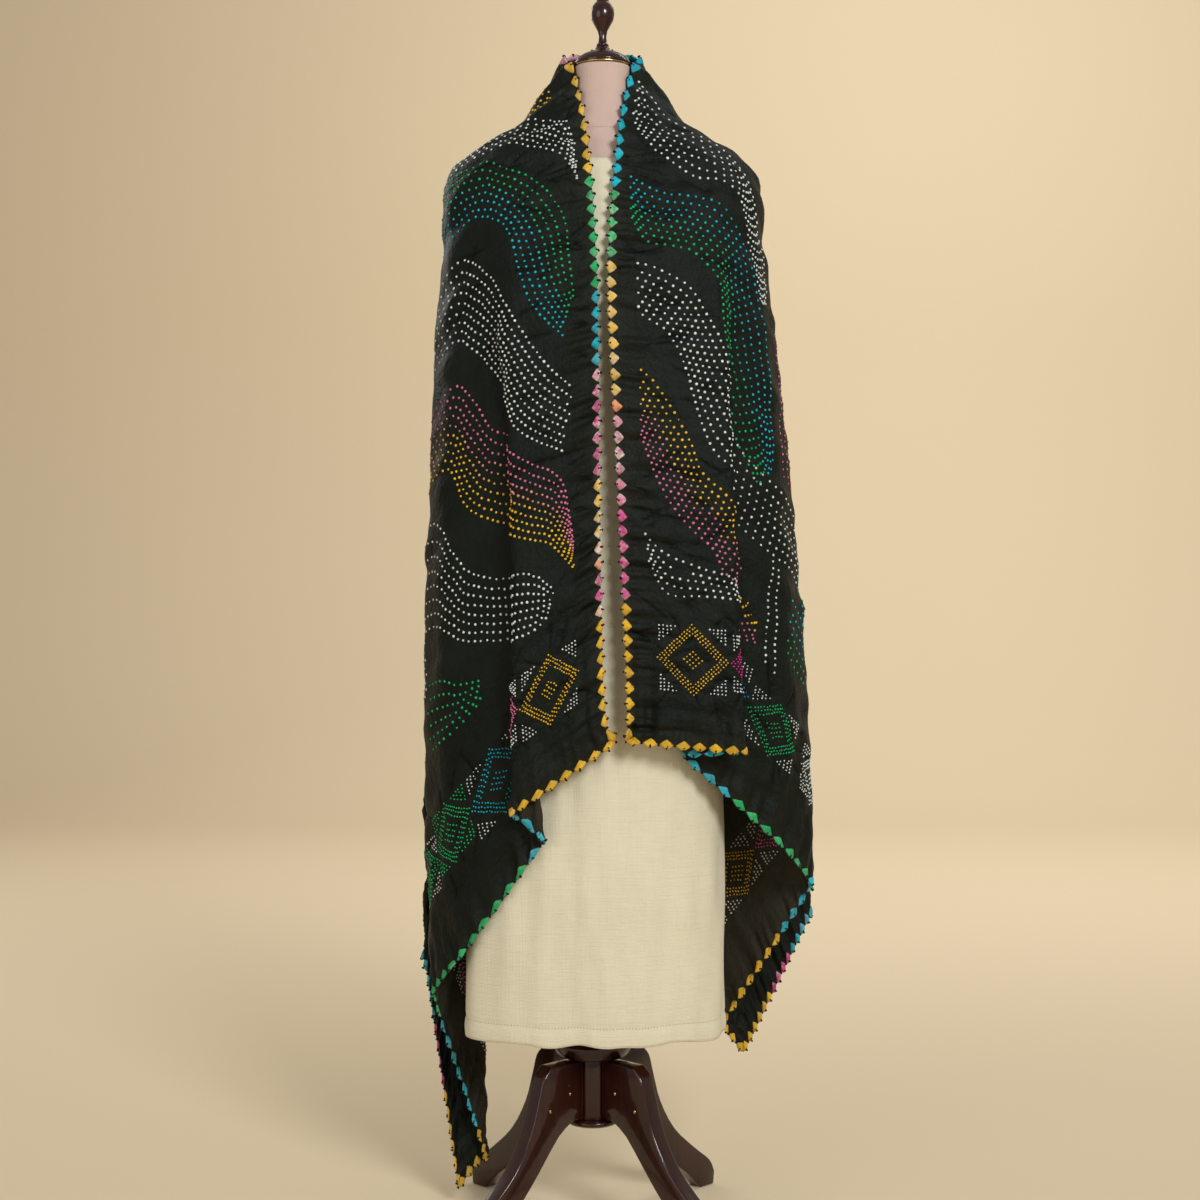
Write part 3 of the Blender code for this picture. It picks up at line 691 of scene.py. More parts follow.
class Join:
    """A node tree with short calls for adding nodes and joining them."""

    def __init__(self, tree: bpy.types.NodeTree) -> None:
        """Keep the tree."""
        self.tree = tree

    def feed(self, socket: Socket, value: object) -> None:
        """Link a socket into another, or set its value.

        Args:
            socket: The input.
            value: A socket, or the value.
        """
        if isinstance(value, bpy.types.NodeSocket):
            self.tree.links.new(value, socket)
        else:
            socket.default_value = value

    def fill(self, node: bpy.types.Node, **values: object) -> bpy.types.Node:
        """Link or set some inputs of a node.

        Args:
            node: The node.
            **values: Inputs by name, with _ for a space.

        Returns:
            The same node.
        """
        for name, value in values.items():
            self.feed(node.inputs[name.replace("_", " ")], value)
        return node

    def add(self, kind: str, settings: dict[str, object] | None = None, **values: object) -> bpy.types.Node:
        """Add a node.

        Args:
            kind: Blender's name for the node.
            settings: Node properties.
            **values: Inputs by name, with _ for a space.

        Returns:
            The node.
        """
        node = self.tree.nodes.new(kind)
        for name, value in (settings or {}).items():
            setattr(node, name, value)
        return self.fill(node, **values)

    def maths(self, kind: str, *values: object) -> Socket:
        """One Math node.

        Args:
            kind: The operation.
            *values: Its inputs in order.

        Returns:
            Its result.
        """
        node = self.add("ShaderNodeMath", {"operation": kind})
        for socket, value in zip(node.inputs, values):
            self.feed(socket, value)
        return node.outputs[0]

    def blend(self, share: object, first: object, second: object, kind: str = "MIX") -> Socket:
        """Mix two colours.

        Args:
            share: How much of the second shows.
            first: Colour or socket.
            second: Colour or socket.
            kind: The way of blending.

        Returns:
            The mixed colour.
        """
        node = self.add("ShaderNodeMix", {"data_type": "RGBA", "blend_type": kind})
        for index, value in ((0, share), (6, first), (7, second)):
            self.feed(node.inputs[index], value)
        return node.outputs[2]

    def stretched(self, place: Socket, by: object) -> Socket:
        """A place, scaled along each axis.

        Args:
            place: The place.
            by: The three scales.

        Returns:
            The scaled place.
        """
        node = self.add("ShaderNodeVectorMath", {"operation": "MULTIPLY"})
        self.feed(node.inputs[0], place)
        self.feed(node.inputs[1], by)
        return node.outputs[0]

    def clamped(self, value: Socket) -> Socket:
        """A number kept from 0 to 1."""
        return self.add("ShaderNodeClamp", Value=value).outputs[0]

    def attribute(self, name: str, output: str = "Fac") -> Socket:
        """What the mesh keeps under a name."""
        return self.add("ShaderNodeAttribute", {"attribute_name": name}).outputs[output]

    def cloth_map(self) -> Socket:
        """Places on the flat cloth."""
        return self.add("ShaderNodeUVMap", {"uv_map": "cloth"}).outputs[0]

    def in_object(self) -> Socket:
        """Places in the object."""
        return self.add("ShaderNodeTexCoord").outputs["Object"]

    def bump(self, height: Socket, strength: float, distance: float, **below: Socket) -> Socket:
        """A bump, on top of the one given as Normal."""
        node = self.add("ShaderNodeBump", Strength=strength, Distance=distance, Height=height, **below)
        return node.outputs[0]


def opaque(colour: Colour) -> tuple[float, float, float, float]:
    """A colour with full alpha."""
    return (*colour, 1.0)


def new_group(name: str, inputs: dict[str, tuple[str, object]],
              outputs: Sequence[str]) -> tuple[Join, bpy.types.Node, bpy.types.Node]:
    """Start a shader node group.

    Args:
        name: Name of the group.
        inputs: Each input's socket type and first value.
        outputs: Names of the number outputs.

    Returns:
        The tree, its input node and its output node.
    """
    tree = bpy.data.node_groups.new(name, "ShaderNodeTree")
    for label, (kind, value) in inputs.items():
        socket = tree.interface.new_socket(label, in_out="INPUT", socket_type=kind)
        if value is not None:
            socket.default_value = value
    for label in outputs:
        tree.interface.new_socket(label, in_out="OUTPUT", socket_type="NodeSocketFloat")
    join = Join(tree)
    return join, join.add("NodeGroupInput"), join.add("NodeGroupOutput")


class Effects:
    """Node groups that several finishes share."""

    def __init__(self) -> None:
        """Build each group once."""
        self.weave = self._weave()
        self.mottle = self._mottle()

    @staticmethod
    def _weave() -> bpy.types.NodeTree:
        """Crossed threads of uneven thickness.

        Returns:
            The group: its place is in metres along and across the cloth.
        """
        join, source, result = new_group(
            "woven threads",
            {"Place": ("NodeSocketVector", None), "Warp": ("NodeSocketFloat", 1000.0),
             "Weft": ("NodeSocketFloat", 1000.0), "Slub": ("NodeSocketFloat", 0.5)},
            ("Height", "Thread"))
        place = source.outputs["Place"]
        split = join.add("ShaderNodeSeparateXYZ", Vector=place)
        heights = []
        for axis, name, stretch in (("X", "Warp", (1.0, 0.04, 1.0)), ("Y", "Weft", (0.04, 1.0, 1.0))):
            count = source.outputs[name]
            turn = join.maths("MULTIPLY", join.maths("MULTIPLY", split.outputs[axis], count), math.tau)
            thread = join.maths("MULTIPLY_ADD", join.maths("SINE", turn), 0.5, 0.5)
            slub = join.add("ShaderNodeTexNoise", Vector=join.stretched(place, stretch), Scale=count,
                            Detail=1.0)
            uneven = join.maths("SUBTRACT", slub.outputs[0], 0.5)
            uneven = join.maths("MULTIPLY", uneven, source.outputs["Slub"])
            heights.append(join.maths("MULTIPLY_ADD", uneven, 4.0, thread))
        join.fill(result, Height=join.maths("MULTIPLY", join.maths("ADD", *heights), 0.5),
                  Thread=join.maths("SUBTRACT", *heights))
        return join.tree

    @staticmethod
    def _mottle() -> bpy.types.NodeTree:
        """Soft cloudy change, stretched along one axis.

        Returns:
            The group.
        """
        join, source, result = new_group(
            "soft mottle",
            {"Place": ("NodeSocketVector", None), "Scale": ("NodeSocketFloat", 10.0),
             "Stretch": ("NodeSocketVector", (1.0, 1.0, 1.0)), "Contrast": ("NodeSocketFloat", 1.0)},
            ("Tone", "Height"))
        place = join.stretched(source.outputs["Place"], source.outputs["Stretch"])
        noise = join.add("ShaderNodeTexNoise", Vector=place, Scale=source.outputs["Scale"], Detail=5.0,
                         Roughness=0.6).outputs[0]
        middle = join.maths("SUBTRACT", noise, 0.5)
        tone = join.clamped(join.maths("MULTIPLY_ADD", middle, source.outputs["Contrast"], 0.5))
        join.fill(result, Tone=tone, Height=noise)
        return join.tree

    def woven(self, join: Join, place: Socket, warp: float, weft: float, slub: float) -> list[Socket]:
        """Put the crossed threads in a material.

        Args:
            join: The material's tree.
            place: Places on the cloth, in metres.
            warp: Threads in a metre one way.
            weft: Threads in a metre the other way.
            slub: How uneven they are.

        Returns:
            Their height, and how far the warp stands over the weft.
        """
        return list(join.add("ShaderNodeGroup", {"node_tree": self.weave}, Place=place, Warp=warp, Weft=weft,
                             Slub=slub).outputs)

    def clouds(self, join: Join, place: Socket, scale: float, contrast: float = 1.0,
               stretch: Colour = (1.0, 1.0, 1.0)) -> list[Socket]:
        """Put the soft mottle in a material.

        Args:
            join: The material's tree.
            place: Where it is read.
            scale: How fine it is.
            contrast: How strong it is.
            stretch: Scale along each axis.

        Returns:
            Its tone from 0 to 1, and its height.
        """
        return list(join.add("ShaderNodeGroup", {"node_tree": self.mottle}, Place=place, Scale=scale,
                             Contrast=contrast, Stretch=stretch).outputs)


@dataclass(frozen=True)
class Finish:
    """What every finish has: a name and a blank material."""

    name: str

    def start(self, **values: object) -> tuple[bpy.types.Material, Join, bpy.types.Node]:
        """A material with a Principled BSDF alone.

        Args:
            **values: Fixed inputs of the shader, with _ for a space.

        Returns:
            The material, its tree and the shader.
        """
        material = bpy.data.materials.new(self.name)
        material.use_nodes = True
        material.node_tree.nodes.clear()
        join = Join(material.node_tree)
        shader = join.add("ShaderNodeBsdfPrincipled", **values)
        join.add("ShaderNodeOutputMaterial", Surface=shader.outputs["BSDF"])
        return material, join, shader


@dataclass(frozen=True)
class SilkFinish(Finish):
    """Dark soft silk: an outer face with some lustre and a duller, browner reverse, and painted shade along
    its thin creases.
    """

    deep: Colour = (0.0026, 0.0042, 0.0027)
    lit: Colour = (0.0082, 0.0112, 0.0076)
    reverse: Colour = (0.0280, 0.0250, 0.0170)
    border: Colour = (0.0210, 0.0200, 0.0135)
    # painted shade: along the thin creases the silk's colour is multiplied towards this grey
    crease_shade_colour: Colour = (0.10, 0.10, 0.10)
    roughness: float = 0.47
    reverse_roughness: float = 0.62
    threads: float = 1500.0

    def make(self, effects: Effects) -> bpy.types.Material:
        """Build the material.

        Args:
            effects: Shared groups.

        Returns:
            The material; it reads the flat cloth's map.
        """
        material, join, shader = self.start(Specular_IOR_Level=0.11, Sheen_Weight=0.006, Sheen_Roughness=0.45,
                                            Sheen_Tint=(0.75, 0.85, 0.80, 1.0))
        place = join.cloth_map()
        cloud, _ = effects.clouds(join, place, 9.0, 2.2)
        streak, _ = effects.clouds(join, place, 60.0, 1.6, (1.0, 9.0, 1.0))
        _, crinkle = effects.clouds(join, place, 95.0)
        weave, _ = effects.woven(join, place, self.threads, self.threads, 0.6)
        tone = join.maths("MULTIPLY_ADD", streak, 0.35, join.maths("MULTIPLY", cloud, 0.65))
        outer = join.blend(tone, opaque(self.deep), opaque(self.lit))
        edge = join.maths("MULTIPLY", join.attribute("edge"), 0.55)
        outer = join.blend(edge, outer, opaque(self.border))
        back = join.add("ShaderNodeNewGeometry").outputs["Backfacing"]
        cloth = join.blend(back, outer, opaque(self.reverse))
        # painted shade: the mask kept on the sheet darkens the silk's colour along its thin creases
        trough = join.maths("MULTIPLY", join.attribute("trough"), 0.85)
        rough = join.maths("MULTIPLY_ADD", back, self.reverse_roughness - self.roughness, self.roughness)
        fine = join.bump(weave, 0.25, 0.0002)
        join.fill(shader, Base_Color=join.blend(trough, cloth, opaque(self.crease_shade_colour), "MULTIPLY"),
                  Roughness=join.maths("MULTIPLY_ADD", join.maths("SUBTRACT", streak, 0.5), 0.16, rough),
                  Normal=join.bump(crinkle, 0.85, 0.0040, Normal=fine))
        return material


@dataclass(frozen=True)
class DyedFinish(Finish):
    """Dyed silk or thread whose colour is kept on the mesh."""

    roughness: float = 0.6
    fleck: float = 0.35
    fleck_scale: float = 700.0
    blotch_scale: float = 210.0
    undyed: Colour = (0.76, 0.74, 0.66)
    stain: Colour = (0.30, 0.28, 0.20)

    def make(self, effects: Effects) -> bpy.types.Material:
        """Build the material.

        Args:
            effects: Shared groups.

        Returns:
            The material; it reads the colour attribute "dye".
        """
        material, join, shader = self.start(Specular_IOR_Level=0.15)
        place = join.in_object()
        tone, height = effects.clouds(join, place, self.fleck_scale, 2.6)
        blotch, _ = effects.clouds(join, place, self.blotch_scale, 4.0)
        clear = join.maths("MULTIPLY", join.maths("MULTIPLY", join.attribute("bare"), blotch), 1.7)
        dye = join.blend(join.clamped(clear), join.attribute("dye", "Color"), opaque(self.undyed))
        share = join.maths("MULTIPLY", tone, self.fleck)
        join.fill(shader, Base_Color=join.blend(share, dye, opaque(self.stain), "MULTIPLY"),
                  Roughness=join.maths("MULTIPLY_ADD", tone, 0.2, self.roughness - 0.1),
                  Normal=join.bump(height, 0.4, 0.0004))
        return material


@dataclass(frozen=True)
class CottonFinish(Finish):
    """Plain woven cloth with thick and thin threads."""

    light: Colour = (0.760, 0.705, 0.550)
    dark: Colour = (0.650, 0.585, 0.420)
    threads: float = 620.0
    slub: float = 0.8
    relief: float = 0.0006
    sheen: float = 0.12

    def make(self, effects: Effects) -> bpy.types.Material:
        """Build the material.

        Args:
            effects: Shared groups.

        Returns:
            The material; it reads the piece's own map.
        """
        material, join, shader = self.start(Sheen_Weight=self.sheen, Sheen_Roughness=0.5)
        place = join.cloth_map()
        weave, thread = effects.woven(join, place, self.threads, self.threads * 0.9, self.slub)
        cloud, soft = effects.clouds(join, place, 14.0, 1.6)
        slubs, _ = effects.clouds(join, place, 150.0, 1.6, (0.25, 2.0, 1.0))
        tone = join.maths("MULTIPLY_ADD", thread, 0.10, join.maths("MULTIPLY", slubs, 0.30))
        tone = join.clamped(join.maths("MULTIPLY_ADD", cloud, 0.35, tone))
        fine = join.bump(weave, 0.5, self.relief)
        join.fill(shader, Base_Color=join.blend(tone, opaque(self.dark), opaque(self.light)),
                  Roughness=join.maths("MULTIPLY_ADD", slubs, 0.12, 0.78),
                  Normal=join.bump(soft, 0.5, 0.0025, Normal=fine))
        return material


@dataclass(frozen=True)
class WoodFinish(Finish):
    """Dark red-brown wood under gloss varnish."""

    deep: Colour = (0.0090, 0.0016, 0.0010)
    lit: Colour = (0.0380, 0.0065, 0.0040)
    stretch: Colour = (9.0, 9.0, 0.7)
    roughness: float = 0.30

    def make(self, effects: Effects) -> bpy.types.Material:
        """Build the material.

        Args:
            effects: Shared groups.

        Returns:
            The material; its grain runs up the piece.
        """
        material, join, shader = self.start(Specular_IOR_Level=0.2, Coat_Weight=0.65, Coat_Roughness=0.06)
        place = join.in_object()
        grain, wave = effects.clouds(join, place, 16.0, 2.4, self.stretch)
        cloud, _ = effects.clouds(join, place, 11.0, 1.8)
        tone = join.maths("MULTIPLY_ADD", grain, 0.6, join.maths("MULTIPLY", cloud, 0.4))
        join.fill(shader, Base_Color=join.blend(tone, opaque(self.deep), opaque(self.lit)),
                  Roughness=join.maths("MULTIPLY_ADD", cloud, 0.12, self.roughness - 0.06),
                  Normal=join.bump(wave, 0.10, 0.0006))
        return material


@dataclass(frozen=True)
class BrassFinish(Finish):
    """Polished brass, a little dulled."""

    colour: Colour = (0.72, 0.50, 0.20)
    worn: Colour = (0.432, 0.275, 0.10)
    roughness: float = 0.24

    def make(self, effects: Effects) -> bpy.types.Material:
        """Build the material.

        Args:
            effects: Shared groups.

        Returns:
            The material.
        """
        material, join, shader = self.start(Metallic=1.0)
        dull, _ = effects.clouds(join, join.in_object(), 160.0, 2.0)
        join.fill(shader, Base_Color=join.blend(dull, opaque(self.colour), opaque(self.worn)),
                  Roughness=join.maths("MULTIPLY_ADD", dull, 0.2, self.roughness - 0.1))
        return material


@dataclass(frozen=True)
class PaperFinish(Finish):
    """Seamless backdrop paper."""

    colour: Colour = (0.71, 0.585, 0.395)
    darker: float = 0.96

    def make(self, effects: Effects) -> bpy.types.Material:
        """Build the material.

        Args:
            effects: Shared groups.

        Returns:
            The material.
        """
        material, join, shader = self.start(Roughness=0.9)
        cloud, _ = effects.clouds(join, join.in_object(), 0.6, 0.8)
        low = tuple(value * self.darker for value in self.colour)
        join.fill(shader, Base_Color=join.blend(cloud, opaque(self.colour), opaque(low)))
        return material


class Finishes:
    """All the materials of the scene."""

    def __init__(self) -> None:
        """Build each material once."""
        effects = Effects()
        self.silk = SilkFinish("dark silk").make(effects)
        self.dots = DyedFinish("tied dots", roughness=0.62, fleck=0.15).make(effects)
        self.edging = DyedFinish("dyed edging", roughness=0.66, fleck=0.45, fleck_scale=420.0).make(effects)
        self.cotton = CottonFinish("cream cotton").make(effects)
        self.linen = CottonFinish("form cover", light=(0.60, 0.445, 0.38), dark=(0.51, 0.36, 0.30),
                                  threads=900.0, slub=0.25, relief=0.0003, sheen=0.05).make(effects)
        self.wood = WoodFinish("varnished mahogany").make(effects)
        self.brass = BrassFinish("brass").make(effects)
        self.paper = PaperFinish("backdrop paper").make(effects)


# ---- meshes --------------------------------------------------------------------------
def put_in_scene(name: str, data: bpy.types.ID) -> bpy.types.Object:
    """Make an object of some data.

    Args:
        name: Name of the object.
        data: Its mesh, lamp or camera.

    Returns:
        The object.
    """
    thing = bpy.data.objects.new(name, data)
    bpy.context.scene.collection.objects.link(thing)
    return thing


def add_piece(name: str, points: np.ndarray, faces: Sequence[Sequence[int]],
              material: bpy.types.Material) -> bpy.types.Object:
    """Make an object from points and faces.

    Args:
        name: Name of the piece.
        points: Its points.
        faces: Its faces.
        material: Its finish.

    Returns:
        The object.
    """
    mesh = bpy.data.meshes.new(name)
    mesh.from_pydata(np.asarray(points).tolist(), [], [list(face) for face in faces])
    mesh.materials.append(material)
    mesh.shade_smooth()
    return put_in_scene(name, mesh)


def settle(piece: bpy.types.Object) -> bpy.types.Object:
    """Ride a finished piece on the model's one body and log it.

    Args:
        piece: The piece.

    Returns:
        The same piece.
    """
    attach(piece, BODY)
    LOG.info("%s: %d faces", piece.name, len(piece.data.polygons))
    return piece


def put_colour(mesh: bpy.types.Mesh, name: str, colours: np.ndarray) -> None:
    """Keep one colour for each point of a mesh.

    Args:
        mesh: The mesh.
        name: Name of the attribute.
        colours: Rows of red, green, blue.
    """
    layer = mesh.color_attributes.new(name, "FLOAT_COLOR", "POINT")
    full = np.hstack([colours, np.ones((len(colours), 1))]).astype(np.float32)
    layer.data.foreach_set("color", full.ravel())


def put_numbers(mesh: bpy.types.Mesh, name: str, values: np.ndarray) -> None:
    """Keep one number for each point of a mesh.

    Args:
        mesh: The mesh.
        name: Name of the attribute.
        values: The numbers.
    """
    layer = mesh.attributes.new(name, "FLOAT", "POINT")
    layer.data.foreach_set("value", values.astype(np.float32))


def put_map(mesh: bpy.types.Mesh, places: np.ndarray) -> None:
    """Keep the flat cloth's places as the mesh's map.

    Args:
        mesh: The mesh.
        places: One row of two numbers for each point, in metres.
    """
    layer = mesh.uv_layers.new(name="cloth")
    corners = np.empty(len(mesh.loops), dtype=np.int64)
    mesh.loops.foreach_get("vertex_index", corners)
    layer.data.foreach_set("uv", places[corners].astype(np.float32).ravel())


# ---- the silk sheet ------------------------------------------------------------------
@dataclass
class Dupatta:
    """The one silk sheet, as a fine mesh with closer faces along its edges."""

    silk: Silk
    start_step: float = 0.0160
    plain_step: float = 0.0090
    edge_step: float = 0.0042
    pucker_step: float = 0.0026
    edge_band: float = 0.050
    slack: float = 1.30
    passes: int = 3
    pucker_near: float = 0.0065         # how close to a thin crease the faces are finest
    # width of the painted shade along each thin crease
    painted_crease_shade_width: float = 0.0017
    edge_tone_reach: float = 0.022

    def _steps(self, axis: int) -> np.ndarray:
        """Places of the first, coarse grid lines.

        Args:
            axis: 0 for rows, 1 for columns.

        Returns:
            Places from 0 to 1.
        """
        grid = self.silk.drape.grid[:, :, :3]
        lengths = np.linalg.norm(np.diff(grid, axis=axis), axis=2).max(axis=1 - axis)
        gone = np.concatenate(([0.0], np.cumsum(lengths)))
        count = max(2, round(gone[-1] / self.start_step))
        places = np.arange(len(gone)) / (len(gone) - 1)
        return np.interp(np.linspace(0, gone[-1], count + 1), gone, places)

    @staticmethod
    def inward(flat: np.ndarray) -> np.ndarray:
        """Distance from the nearest edge of the flat cloth.

        Args:
            flat: Rows of (along, across).

        Returns:
            The distances.
        """
        return np.minimum(np.minimum(flat[:, 1], WIDTH - flat[:, 1]), HALF_LENGTH - np.abs(flat[:, 0]))

    def _refine(self, bm: bmesh.types.BMesh) -> bool:
        """Split the edges that are too long for their place on the cloth.

        Args:
            bm: Mesh whose points are (column place, row place, 0).

        Returns:
            Whether anything was split.
        """
        bm.verts.index_update()
        places = np.array([vert.co[:2] for vert in bm.verts])
        points = self.silk.drape.read(places[:, 0], places[:, 1])
        ends = np.array([(edge.verts[0].index, edge.verts[1].index) for edge in bm.edges])
        length = np.linalg.norm(points[ends[:, 0], :3] - points[ends[:, 1], :3], axis=1)
        flat = (points[ends[:, 0], 3:] + points[ends[:, 1], 3:]) / 2
        wanted = np.where(self.inward(flat) < self.edge_band, self.edge_step, self.plain_step)
        wanted = np.where(self.silk.pucker_distance(flat) < self.pucker_near, self.pucker_step, wanted)
        bm.edges.ensure_lookup_table()
        chosen = [bm.edges[index] for index in np.flatnonzero(length > wanted * self.slack)]
        if chosen:
            bmesh.ops.subdivide_edges(bm, edges=chosen, cuts=1, use_grid_fill=True)
        return bool(chosen)

    def build(self, finishes: Finishes) -> bpy.types.Object:
        """Build the sheet.

        Args:
            finishes: The materials.

        Returns:
            The piece.
        """
        columns, rows = self._steps(1), self._steps(0)
        bm = bmesh.new()
        verts = [[bm.verts.new((u, t, 0.0)) for u in columns] for t in rows]
        for low, high in zip(verts, verts[1:]):
            for i in range(len(columns) - 1):
                bm.faces.new((low[i], low[i + 1], high[i + 1], high[i]))
        for _ in range(self.passes):
            if not self._refine(bm):
                break
        bmesh.ops.triangulate(bm, faces=[face for face in bm.faces if len(face.verts) > 4])
        places = np.array([vert.co[:2] for vert in bm.verts])
        points = self.silk.surface(places[:, 0], places[:, 1])
        mesh = bpy.data.meshes.new("dupatta")
        bm.to_mesh(mesh)
        bm.free()
        mesh.vertices.foreach_set("co", points[:, :3].astype(np.float32).ravel())
        mesh.update()
        mesh.materials.append(finishes.silk)
        mesh.shade_smooth()
        flat = points[:, 3:]
        put_map(mesh, flat + (HALF_LENGTH, 0.0))
        put_numbers(mesh, "edge", np.exp(-self.inward(flat) / self.edge_tone_reach))
        # painted shade: a mask that is 1 on the thin creases, where the material darkens the silk
        put_numbers(mesh, "trough", np.exp(-(self.silk.pucker_distance(flat) / self.painted_crease_shade_width) ** 2))
        return settle(put_in_scene("dupatta", mesh))


# ---- coloured edging -----------------------------------------------------------------
class Stretch(NamedTuple):
    """A stretch of an edge whose lozenges share a colour, up to a place along that edge."""

    until: float
    dye: Dye
    pale: float              # how much undyed silk shows in each lozenge


FRONT_LEFT = (Stretch(0.09, Dye.PINK, 0.5), Stretch(0.29, Dye.YELLOW, 0.15),
              Stretch(0.49, Dye.GREEN, 0.15), Stretch(0.62, Dye.CYAN, 0.1),
              Stretch(0.80, Dye.MAGENTA, 0.6), Stretch(0.92, Dye.YELLOW, 0.7),
              Stretch(0.97, Dye.ORANGE, 0.7), Stretch(1.005, Dye.MAGENTA, 0.5),
              Stretch(1.04, Dye.ORANGE, 0.6), Stretch(HALF_LENGTH, Dye.YELLOW, 0.1))
FRONT_RIGHT = (Stretch(0.31, Dye.CYAN, 0.05), Stretch(0.43, Dye.GREEN, 0.3), Stretch(0.69, Dye.YELLOW, 0.6),
               Stretch(0.71, Dye.ORANGE, 0.5), Stretch(0.87, Dye.PINK, 0.65),
               Stretch(1.005, Dye.MAGENTA, 0.35), Stretch(HALF_LENGTH, Dye.YELLOW, 0.1))
HEM_LEFT = (Stretch(0.20, Dye.YELLOW, 0.1), Stretch(0.33, Dye.CYAN, 0.15), Stretch(0.62, Dye.GREEN, 0.1),
            Stretch(0.80, Dye.CYAN, 0.15), Stretch(WIDTH, Dye.YELLOW, 0.15))
HEM_RIGHT = (Stretch(0.20, Dye.YELLOW, 0.05), Stretch(0.37, Dye.CYAN, 0.1), Stretch(0.54, Dye.GREEN, 0.1),
             Stretch(0.67, Dye.CYAN, 0.15), Stretch(WIDTH, Dye.YELLOW, 0.1))
FAR_SIDE = (Stretch(0.20, Dye.CYAN, 0.2), Stretch(0.42, Dye.GREEN, 0.2), Stretch(0.62, Dye.YELLOW, 0.3),
            Stretch(0.82, Dye.PINK, 0.4), Stretch(0.98, Dye.CYAN, 0.2), Stretch(1.10, Dye.MAGENTA, 0.3),
            Stretch(HALF_LENGTH, Dye.YELLOW, 0.1))
THREAD = (0.012, 0.013, 0.014)
KNOTS = ((-0.5, 0.0004), (0.0, -0.0036), (0.03, -0.0014))
LOZENGE = ((-12.0, 1.4), (-8.4, -1.2), (-4.2, -3.2), (0.0, -4.2), (4.2, -3.2), (8.4, -1.2), (12.0, 1.4),
           (8.8, 4.6), (5.2, 7.8), (2.0, 10.4), (0.0, 11.4), (-2.0, 10.4), (-5.2, 7.8), (-8.8, 4.6))


@dataclass
class Run:
    """One edge of the cloth with its row of lozenges."""

    count: int
    low: tuple[float, float]
    high: tuple[float, float]
    inward: tuple[float, float]
    colours: tuple[Sequence[Stretch], Sequence[Stretch]]     # of the left half and of the right
    axis: int                # which place picks the stretch: 0 for along, 1 for across


def pick(stretches: Sequence[Stretch], place: float) -> Stretch:
    """The stretch that a place falls in."""
    return next((stretch for stretch in stretches if place <= stretch.until), stretches[-1])


